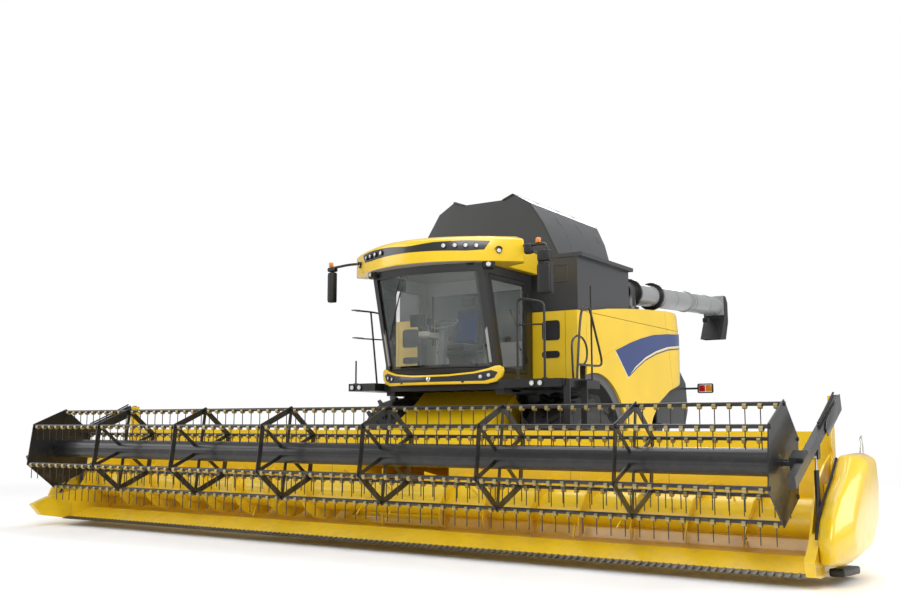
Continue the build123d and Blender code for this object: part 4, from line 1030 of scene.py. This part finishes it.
def make_fenders():
    """Grey band over each front wheel, with the flat ring that fills the panel's arch."""
    ring = drum("ring", (1.58, ARCH_Y, ARCH_Z), 1.155, 0.016, 96, (0, math.pi / 2, 0))
    carve(ring, drum("hole", (1.58, -1.11, 1.043), 1.07, 0.1, 96, (0, math.pi / 2, 0)))
    band = drum("band", (1.195, ARCH_Y, ARCH_Z), 1.135, 0.79, 96, (0, math.pi / 2, 0))
    carve(band, drum("hole", (1.2, ARCH_Y, ARCH_Z), 1.117, 1.2, 96, (0, math.pi / 2, 0)))
    pieces = []
    for piece in (ring, band):
        keep = outline_plate("keep", [(-1.28, 1.55), (-1.28, 2.4), (0.3, 2.4), (0.3, 1.33), (-0.12, 1.33),
                                      (-0.9, 1.33)],
                             "x", 0.5, 1.9)
        pieces.append(carve(piece, keep, "INTERSECT"))
    left = joined("fender_left", pieces)
    fenders = joined("front_wheel_fenders", [left, other_side(left, "fender_right")])
    done(fenders, "chassis", "grey_plastic", 30)
    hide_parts("front_fenders")


def make_covers():
    """Grain tank extensions: folded sides that lean in, cut off at a slant behind, with end sheets."""
    section = [(1.25, 3.902), (1.02, 4.37), (0.8, 4.705), (0.51, 4.878), (0.33, 4.81)]
    front_y, rear_y = -1.4, 0.9
    only()
    shape = bpy.data.meshes.new("cover")
    shape.from_pydata([(x, front_y, z) for x, z in section], [(i, i + 1) for i in range(4)], [])
    side = bpy.data.objects.new("cover", shape)
    bpy.context.scene.collection.objects.link(side)
    only(side)
    bpy.ops.object.mode_set(mode="EDIT")
    bpy.ops.mesh.select_mode(type="EDGE")
    bpy.ops.mesh.select_all(action="SELECT")
    bpy.ops.mesh.extrude_region_move(TRANSFORM_OT_translate={"value": (0, rear_y - front_y, 0)})
    bpy.ops.mesh.select_all(action="SELECT")
    bpy.ops.mesh.normals_make_consistent(inside=False)
    bpy.ops.mesh.bisect(plane_co=(0, rear_y, 4.7), plane_no=(0, 0.87, -0.49), clear_outer=True)
    bpy.ops.object.mode_set(mode="OBJECT")
    wall = side.modifiers.new("wall", "SOLIDIFY")
    wall.thickness, wall.offset = 0.018, 0
    only(side)
    bpy.ops.object.modifier_apply(modifier=wall.name)
    face_outwards(side)
    sheet = mirrored([(x - 0.012, z) for x, z in section])
    pieces = [side, other_side(side, "cover_right")]
    front = outline_plate("front", sheet, "y", front_y - 0.006, front_y + 0.012)
    rear = outline_plate("rear", sheet, "y", 0, 0.016)
    for vertex in rear.data.vertices:
        vertex.co.y += 0.43 + (min(vertex.co.z, 4.72) - 3.9) * (0.45 / 0.82)
    # Stiffening folds on the outer faces and a rain flap along each ridge.
    for y in (-0.75, -0.05, 0.5):
        fold = pipe("fold", [(x + 0.01, y, z) for x, z in section[:4] if not (y > 0.3 and z < 4.2)], 0.009, 8)
        pieces += [fold, other_side(fold, "fold_right")]
    flap = outline_plate("flap", [(0.52, 4.885), (0.34, 4.815), (0.345, 4.8), (0.53, 4.87)], "y",
                         front_y - 0.03, rear_y - 0.02)
    pieces += [front, rear, flap, other_side(flap, "flap_right")]
    covers = done(joined("tank_cover_sheets", pieces), "chassis", "dark_grey_paint", 25)
    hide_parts("tank_covers")


def make_tank_trim():
    """Pressed outline on the front of the tank, and the rim under the covers."""
    face_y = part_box("grain_tank")[0][1]
    loops = []
    for side in (1, -1):
        low, high, z0, z1 = 0.96, 1.4, 3.5, 3.74
        corners = [(low, z0), (high, z0), (high, z1), (low, z1), (low, z0)]
        for (x0, a0), (x1, a1) in zip(corners, corners[1:]):
            loops.append(pipe("bead", [(side * x0, face_y, a0), (side * x1, face_y, a1)], 0.009, 8))
    done(joined("tank_beads", loops), "chassis", "dark_grey_paint")
    low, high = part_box("grain_tank")
    rim = cube("rim", (low[0] - 0.012, low[1] - 0.012, high[2] - 0.05),
               (high[0] + 0.012, high[1] + 0.012, high[2] + 0.006))
    choose(rim, lambda middle, normal: abs(normal.z) > 0.9)
    bpy.ops.mesh.inset(thickness=0.022, depth=0)
    bpy.ops.mesh.delete(type="FACE")
    bpy.ops.object.mode_set(mode="OBJECT")
    wall = rim.modifiers.new("wall", "SOLIDIFY")
    wall.thickness = 0.005
    only(rim)
    bpy.ops.object.modifier_apply(modifier=wall.name)
    done(rim, "chassis", "dark_grey_paint")


def make_wells():
    """Square recess and hand slot in the front of each side compartment."""
    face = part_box("shoulder_panels")[0][1]
    pieces = []
    for x0, x1, z0, z1 in ((1.075, 1.355, 2.65, 2.93), (1.07, 1.35, 2.4, 2.5)):
        for side in (1, -1):
            low, high = sorted((side * x0, side * x1))
            well = cube("well", (low, face - 0.006, z0), (high, face + 0.002, z1))
            choose(well, lambda middle, run: abs(run.y) > 0.9, "EDGE")
            bpy.ops.mesh.bevel(offset=0.045, segments=5)
            bpy.ops.object.mode_set(mode="OBJECT")
            sink(well, lambda middle, normal: normal.y < -0.9, 0.012, 0.0)
            sink(well, lambda middle, normal: normal.y < -0.9, 0.006, -0.005)
            pieces.append(well)
    done(joined("shoulder_wells", pieces), "chassis", "black_plastic")


def make_shields():
    """Bulging end shields with a ridge, and a black tube along their inner edge that is painted shade in the
    gap there.
    """
    inner = [(-0.92, 0.448), (-0.83, 0.617), (-0.58, 0.778), (-0.215, 0.963), (0.03, 1.165), (0.58, 1.175),
             (0.66, 0.9),
             (0.59, 0.48), (0.25, 0.23), (-0.5, 0.165), (-0.86, 0.215)]
    ridge = [(-1.05, 0.43), (-0.94, 0.625), (-0.69, 0.815), (-0.33, 1.01), (-0.02, 1.185), (0.585, 1.192),
             (0.67, 0.9),
             (0.59, 0.46), (0.23, 0.215), (-0.56, 0.18), (-0.99, 0.235)]
    face = [(-0.7, 0.5), (-0.62, 0.63), (-0.43, 0.79), (-0.17, 0.98), (0.07, 1.12), (0.49, 1.13),
            (0.57, 0.88),
            (0.5, 0.53), (0.17, 0.33), (-0.32, 0.29), (-0.6, 0.345)]
    offset = -3.73
    sections = [(x, [(offset + y, z) for y, z in outline]) for x, outline in
                ((5.43, inner), (5.58, ridge), (5.712, face))]
    left = lofted("shield", sections)
    finer = left.modifiers.new("finer", "BEVEL")
    finer.width, finer.segments, finer.limit_method, finer.angle_limit = 0.05, 5, "ANGLE", 0.12
    only(left)
    bpy.ops.object.modifier_apply(modifier=finer.name)
    carrier = cube("carrier", (5.336, -3.9, 0.3), (5.44, -3.35, 0.9))
    shields = joined("end_shields", [left, soften(carrier, 0.01, 2)])
    shields = joined("end_shields", [shields, other_side(shields, "right")])
    done(shields, "header", "yellow_paint", 50)
    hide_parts("header_shields")
    # Painted shade: a black rubber tube along each shield's inner edge stands in for the shade in the gap
    # between shield and header.
    slot = pipe("slot", [(5.425, y, z) for y, z in ((-3.704, 1.141), (-3.948, 0.963), (-4.313, 0.778),
                                                    (-4.576, 0.617),
                                                    (-4.65, 0.448))], 0.014, 8)
    done(joined("shield_gap_shade", [slot, other_side(slot, "gap_shade_right")]), "header", "rubber")
    handle = pipe("handle", [(5.6, -3.45, 1.15), (5.6, -3.45, 1.36), (5.6, -3.3, 1.36), (5.6, -3.3, 1.15)],
                  0.006)
    done(joined("shield_handles", [handle, other_side(handle, "handle_right")]), "header", "chrome")


def make_rails():
    """Bent handrails round the platforms, with foot plates."""
    y, deck = -2.705, DECK
    runs = [
        # radius, points
        (0.017, [(1.3, y, deck), (1.3, y, 3.0), (1.302, y, 3.09), (1.36, y, 3.115), (1.5, y, 3.085),
                 (1.62, y, 3.06),
                 (1.69, y, 3.03), (1.697, y, 2.96), (1.697, y, deck)]),
        (0.012, [(1.3, y, 2.77), (1.5, y, 2.765), (1.697, y, 2.76)]),
        (0.016, [(1.9, -2.19, deck), (1.9, -2.13, 2.5), (1.9, -2.07, 2.86), (1.9, -2.0, 3.03),
                 (1.9, -1.9, 3.06),
                 (1.9, -1.8, 3.05), (1.9, -1.73, 2.97), (1.9, -1.6, 2.72), (1.9, -1.43, 2.42),
                 (1.9, -1.4, 2.3),
                 (1.9, -1.5, 2.268), (1.9, -1.8, 2.264), (1.9, -2.16, 2.262)]),
        (0.014, [(1.9, -2.3, deck), (1.9, -2.33, 2.4), (1.9, -2.33, 2.56), (1.9, -2.22, 2.63),
                 (1.9, -2.1, 2.645),
                 (1.9, -1.95, 2.6), (1.9, -1.86, 2.48), (1.9, -1.89, 2.3), (1.9, -2.0, 2.262)]),
        (0.013, [(1.86, -1.64, deck), (1.86, -1.64, 2.8), (1.86, -1.64, 3.37)]),
        (0.014, [(-1.47, -1.85, deck), (-1.47, -1.85, 3.06), (-1.47, -1.88, 3.135), (-1.47, -1.96, 3.145),
                 (-1.47, -2.26, 3.16), (-1.47, -2.6, 3.14)]),
        (0.014, [(-1.47, -2.09, deck), (-1.47, -2.17, 2.6), (-1.47, -2.26, 3.155)]),
        (0.011, [(-1.47, -1.85, 2.76), (-1.47, -2.2, 2.745), (-1.47, -2.57, 2.735)]),
        (0.012, [(-1.47, -2.6, deck), (-1.47, -2.6, 2.2), (-1.47, -2.6, 2.4)]),
    ]
    pieces = [pipe("rail", points, radius, 12) for radius, points in runs]
    for x, foot_y in ((1.3, y), (1.697, y), (1.9, -2.19), (1.9, -2.3), (1.86, -1.64), (-1.47, -1.85),
                      (-1.47, -2.09),
                      (-1.47, -2.6)):
        foot = drum("foot", (x, foot_y, deck + 0.006), 0.036, 0.012, 20, (0, 0, 0))
        pieces.append(soften(foot, 0.003, 1))
    for tip_y, tip_z in ((-2.6, 3.142), (-2.57, 2.737)):
        plate = outline_plate("plate", [(-1.5, tip_y - 0.09), (-1.5, tip_y + 0.07), (-1.4, tip_y + 0.05),
                                        (-1.43, tip_y - 0.08)],
                              "z", tip_z - 0.008, tip_z + 0.008)
        pieces.append(soften(plate, 0.004, 2))
    rails = done(joined("platform_rails", pieces), "chassis", "black_paint", 50)
    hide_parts("handrails")


def make_rear_frames():
    """Round-cornered lamp frames behind the rear wheels, with red and amber glasses."""
    box_low, box_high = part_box("rear_lamps")
    y = (box_low[1] + box_high[1]) / 2
    frames, reds, ambers = [], [], []
    for side in (1, -1):
        low, high = sorted((side * (box_high[0] - 0.3), side * box_high[0]))
        z = (box_low[2] + box_high[2]) / 2
        frame_piece = cube("frame", (low, y - 0.02, z - 0.09), (high, y + 0.02, z + 0.09))
        choose(frame_piece, lambda middle, run: abs(run.y) > 0.9, "EDGE")
        bpy.ops.mesh.bevel(offset=0.03, segments=4)
        bpy.ops.object.mode_set(mode="OBJECT")
        choose(frame_piece, lambda middle, normal: abs(normal.y) > 0.9)
        bpy.ops.mesh.inset(thickness=0.022, depth=0)
        bpy.ops.mesh.bridge_edge_loops()
        bpy.ops.object.mode_set(mode="OBJECT")
        frames.append(soften(frame_piece, 0.005, 2))
        frames.append(pipe("arm", [(side * 1.06, y, z), (side * 1.2, y, z),
                                   (side * (box_high[0] - 0.29), y, z)], 0.02, 12))
        middle_x = side * (box_high[0] - 0.15)
        for store, x0, x1 in ((reds, -0.12, -0.005), (ambers, 0.005, 0.12)):
            glass = cube("glass", (middle_x + x0, y - 0.012, z - 0.062),
                         (middle_x + x1, y + 0.014, z + 0.062))
            soften(glass, 0.008, 2)
            store.append(glass)
    done(joined("rear_lamp_frames", frames), "chassis", "black_plastic")
    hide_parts("rear_lamps")
    done(joined("rear_red_glasses", reds), "chassis", "red_lens")
    done(joined("rear_amber_glasses", ambers), "chassis", "amber_lens")


# ---- reel, tube and header trim ----------------------------------------------
REEL_Y, REEL_Z, REEL_RADIUS, REEL_TURN = -4.83, 1.13, 0.535, math.radians(7.4)
BAYS = [-5.22, -3.78, -2.27, -0.76, 0.76, 2.27, 3.78, 5.22]
TINES_A_BAY = 10


def make_tine_coils():
    """The sprung coil at the head of each tine, clamped round its bar."""
    stations = [x0 + (x1 - x0) * (k + 0.5) / TINES_A_BAY
                for x0, x1 in zip(BAYS, BAYS[1:]) for k in range(TINES_A_BAY)]
    for bar in range(REEL_BARS):
        turn = REEL_TURN + math.radians(60) * bar
        y, z = REEL_Y + REEL_RADIUS * math.sin(turn), REEL_Z + REEL_RADIUS * math.cos(turn)
        coil = drum("coil", (0, 0, 0), 0.03, 0.036, 14, (0, math.pi / 2, 0))
        sink(coil, lambda middle, normal: abs(normal.x) > 0.9, 0.006, 0.003)
        sink(coil, lambda middle, normal: abs(normal.x) > 0.9, 0.005, -0.006)
        coils = cloned("coils_%d" % (bar + 1), coil, [at(x, y, z - 0.018) for x in stations])
        done(coils, "tines_%d" % (bar + 1), "brass")


def make_tube_trim():
    """The tube's thin bands, and the work lamp's bracket."""
    root, tip = Vector((TUBE_X, 0.59, 3.57)), Vector((TUBE_X, 5.18, 3.81))
    lean = math.atan2(tip.z - root.z, tip.y - root.y)
    bands = []
    for share in (0.34, 0.62, 0.86):
        centre = root.lerp(tip, share)
        band = drum("band", (0, 0, 0), 0.187, 0.045, 48)
        sink(band, lambda middle, normal: abs(normal.y) < 0.2, 0.004, 0.0015)
        band.matrix_world = at(centre.x, centre.y, centre.z, 0.0, lean)
        bands.append(settle(band))
    done(joined("tube_bands", bands), "unloader", "silver_paint")
    pod = cube("pod", (TUBE_X - 0.06, 4.67, 3.44), (TUBE_X + 0.06, 4.705, 3.53))
    soften(pod, 0.02, 4)
    stalk = pipe("stalk", [(TUBE_X, 4.68, 3.5), (TUBE_X, 4.66, 3.56), (TUBE_X, 4.65, 3.64)], 0.013)
    done(joined("tube_lamp_bracket", [pod, stalk]), "unloader", "black_plastic")


def make_header_trim():
    """Skids under the shields, and the lifting levers by both ends."""
    skids = []
    for side in (1, -1):
        low, high = sorted((side * 5.44, side * 5.58))
        skid = cube("skid", (low, -4.3, 0.035), (high, -3.6, 0.11))
        choose(skid, lambda middle, normal: normal.y < -0.9)
        bpy.ops.transform.translate(value=(0, 0, 0.05))
        bpy.ops.object.mode_set(mode="OBJECT")
        skids.append(soften(skid, 0.02, 3))
    done(joined("header_skids", skids), "header", "black_plastic")
    levers = []
    for side in (1, -1):
        lever = pipe("lever", [(side * 5.345, -3.52, 1.42), (side * 5.345, -3.6, 1.3),
                               (side * 5.345, -3.5, 1.18),
                               (side * 5.345, -3.6, 1.05), (side * 5.345, -3.55, 0.92)], 0.016, 12)
        levers.append(lever)
    done(joined("reel_lock_levers", levers), "header", "yellow_paint")


def make_arm_guards():
    """Folded plate over each reel arm's foot with its hoses."""
    plates, hoses = [], []
    for side in (1, -1):
        low, high = sorted((side * 5.418, side * 5.428))
        plate = outline_plate("plate", [(-3.42, 1.78), (-3.36, 1.62), (-4.0, 1.36), (-4.08, 1.42),
                                        (-4.05, 1.5)], "x", low, high)
        plates.append(soften(plate, 0.003, 2))
        for shift in (0.0, 0.03):
            hoses.append(pipe("hose", [(side * 5.38, -3.5, 1.76 + shift), (side * 5.38, -3.8, 1.62 + shift),
                                       (side * 5.38, -4.2, 1.455 + shift)], 0.011))
    done(joined("reel_arm_guards", plates), "arms", "silver_paint")
    done(joined("reel_arm_hoses", hoses), "arms", "rubber")


def make_door_trim():
    """Grab rail and handle of the door."""
    rail = pipe("rail", [(0.905, -1.9, 2.5), (0.86, -1.9, 2.55), (0.855, -1.92, 2.85), (0.86, -2.1, 3.0),
                         (0.905, -2.2, 3.05)],
                0.012, 12)
    handle = cube("handle", (0.918, -2.36, 2.6), (0.945, -2.24, 2.66))
    sink(handle, lambda middle, normal: normal.x > 0.9, 0.01, -0.006)
    done(joined("door_rail_and_handle", [rail, soften(handle, 0.005, 2)]), "door", "black_plastic")


def make_underside():
    """Pipes and a valve block between the cab and the feeder."""
    parts = []
    for step in range(5):
        x = -0.66 + 0.33 * step
        parts.append(pipe("pipe", [(x, -2.38, 1.962), (x + 0.03, -2.36, 1.95), (x + 0.07, -2.2, 1.943),
                                   (x + 0.12, -1.9, 1.955)],
                          0.014))
    block = cube("block", (0.72, -2.3, 1.9), (0.98, -2.05, 1.965))
    sink(block, lambda middle, normal: normal.y < -0.9, 0.03, 0.012)
    parts.append(soften(block, 0.01, 2))
    done(joined("cab_pipes", parts), "chassis", "rubber")


def make_wheel_nuts():
    """Ring of nuts round each wheel's hub."""
    for node, body in (("front_left_rim", "front_left_wheel"), ("front_right_rim", "front_right_wheel"),
                       ("rear_left_rim", "rear_left_wheel"), ("rear_right_rim", "rear_right_wheel")):
        low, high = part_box(node)
        y, z = (low.y + high.y) / 2, (low.z + high.z) / 2
        left = high.x > 0
        # The disc's face, found by looking in from outside beside the hub.
        start = Vector((3.0 if left else -3.0, y, z + NUT_RING * (high.z - low.z) / 2))
        hit, place, normal, _ = nodes[node].ray_cast(start, Vector((-1 if left else 1, 0, 0)))
        if not hit:
            continue
        nut = drum("nut", (0, 0, 0), 0.019, 0.03, 6, (0, math.pi / 2, 0))
        sink(nut, lambda middle, normal: abs(normal.x) > 0.9, 0.004, 0.003)
        radius = NUT_RING * (high.z - low.z) / 2
        spots = [at(place.x, y + radius * math.sin(math.tau * i / NUTS),
                    z + radius * math.cos(math.tau * i / NUTS))
                 for i in range(NUTS)]
        done(cloned(node + "_nuts", nut, spots), body, "steel")


# ---- floor, light and camera -------------------------------------------------
SKY = 0.5     # strength of the soft light from all round


def make_stage():
    """A pale floor that looks white to the camera but keeps the machine's shadow."""
    bpy.ops.mesh.primitive_plane_add(size=400, location=(0, 0, 0))
    floor = bpy.context.object
    floor.name = "floor"
    made, place, shader = material("pale floor")
    speck = noise(place, 0.8)
    put(shader, place, Base_Color=blend_colours(fade(speck, 0.3, 0.7), grey(0.93), grey(0.96)), Roughness=0.9)
    tree = place.tree
    # Far from the machine the floor is plain white, as the backdrop is.
    far = fade(place.node("VectorMath", {0: place}, {"operation": "LENGTH"}, out=1), 9.0, 16.0)
    rays = tree.nodes.new("ShaderNodeLightPath")
    seen = Value(tree, rays.outputs["Is Camera Ray"])
    white = place.node("Emission", {"Color": grey(1.0), "Strength": 1.0})
    mixed = place.node("MixShader", {0: far * seen, 1: Value(tree, shader.outputs[0]), 2: white})
    tree.links.new(mixed.socket, tree.nodes["Material Output"].inputs["Surface"])
    floor.data.materials.append(made)


def make_world():
    world = bpy.data.worlds.new("studio")
    bpy.context.scene.world = world
    world.use_nodes = True
    tree = world.node_tree
    back = tree.nodes["Background"]
    rays = tree.nodes.new("ShaderNodeLightPath")
    seen = Value(tree, rays.outputs["Is Camera Ray"]) + Value(tree, rays.outputs["Is Transmission Ray"])
    bright = fade(seen, 0.0, 1.0, SKY, 1.0)
    tree.links.new(bright.socket, back.inputs["Strength"])
    back.inputs["Color"].default_value = grey(1.0)


def make_lights():
    rows = [
        # name, place, aim, size, watts
        ("key", (7.0, -15.0, 12.0), (0.0, -1.0, 1.5), 9.0, 1650.0),
        ("fill", (-14.0, -12.0, 8.0), (0.0, -1.0, 1.5), 10.0, 700.0),
        ("top", (0.0, 1.0, 15.0), (0.0, 0.0, 2.0), 12.0, 1050.0),
        ("side", (15.0, 1.0, 7.0), (0.0, 0.0, 2.0), 8.0, 850.0),
        ("rear", (-6.0, 16.0, 10.0), (0.0, 0.0, 2.0), 8.0, 900.0),
    ]
    for name, place, aim, size, watts in rows:
        data = bpy.data.lights.new(name, "AREA")
        data.size, data.energy = size, watts
        lamp = bpy.data.objects.new(name, data)
        bpy.context.scene.collection.objects.link(lamp)
        lamp.location = place
        lamp.rotation_euler = (Vector(aim) - Vector(place)).to_track_quat("-Z", "Y").to_euler()


def make_camera():
    data = bpy.data.cameras.new("camera")
    data.lens, data.sensor_width = 39.64, 36.0
    camera = bpy.data.objects.new("camera", data)
    bpy.context.scene.collection.objects.link(camera)
    camera.location = (7.633, -14.011, 1.466)
    camera.rotation_euler = (math.radians(96.907), 0.0, math.radians(33.167))
    bpy.context.scene.camera = camera


make_roof()
make_bumper()
make_side_panels()
make_fenders()
make_covers()
make_tank_trim()
make_wells()
make_shields()
make_rails()
make_rear_frames()
make_lamps()
make_badge()
make_mirrors()
make_wiper()
make_seat()
make_tine_coils()
make_tube_trim()
make_header_trim()
make_arm_guards()
make_door_trim()
make_underside()
make_wheel_nuts()
make_stage()
make_world()
make_lights()
make_camera()
bpy.context.scene.view_settings.view_transform = "Standard"
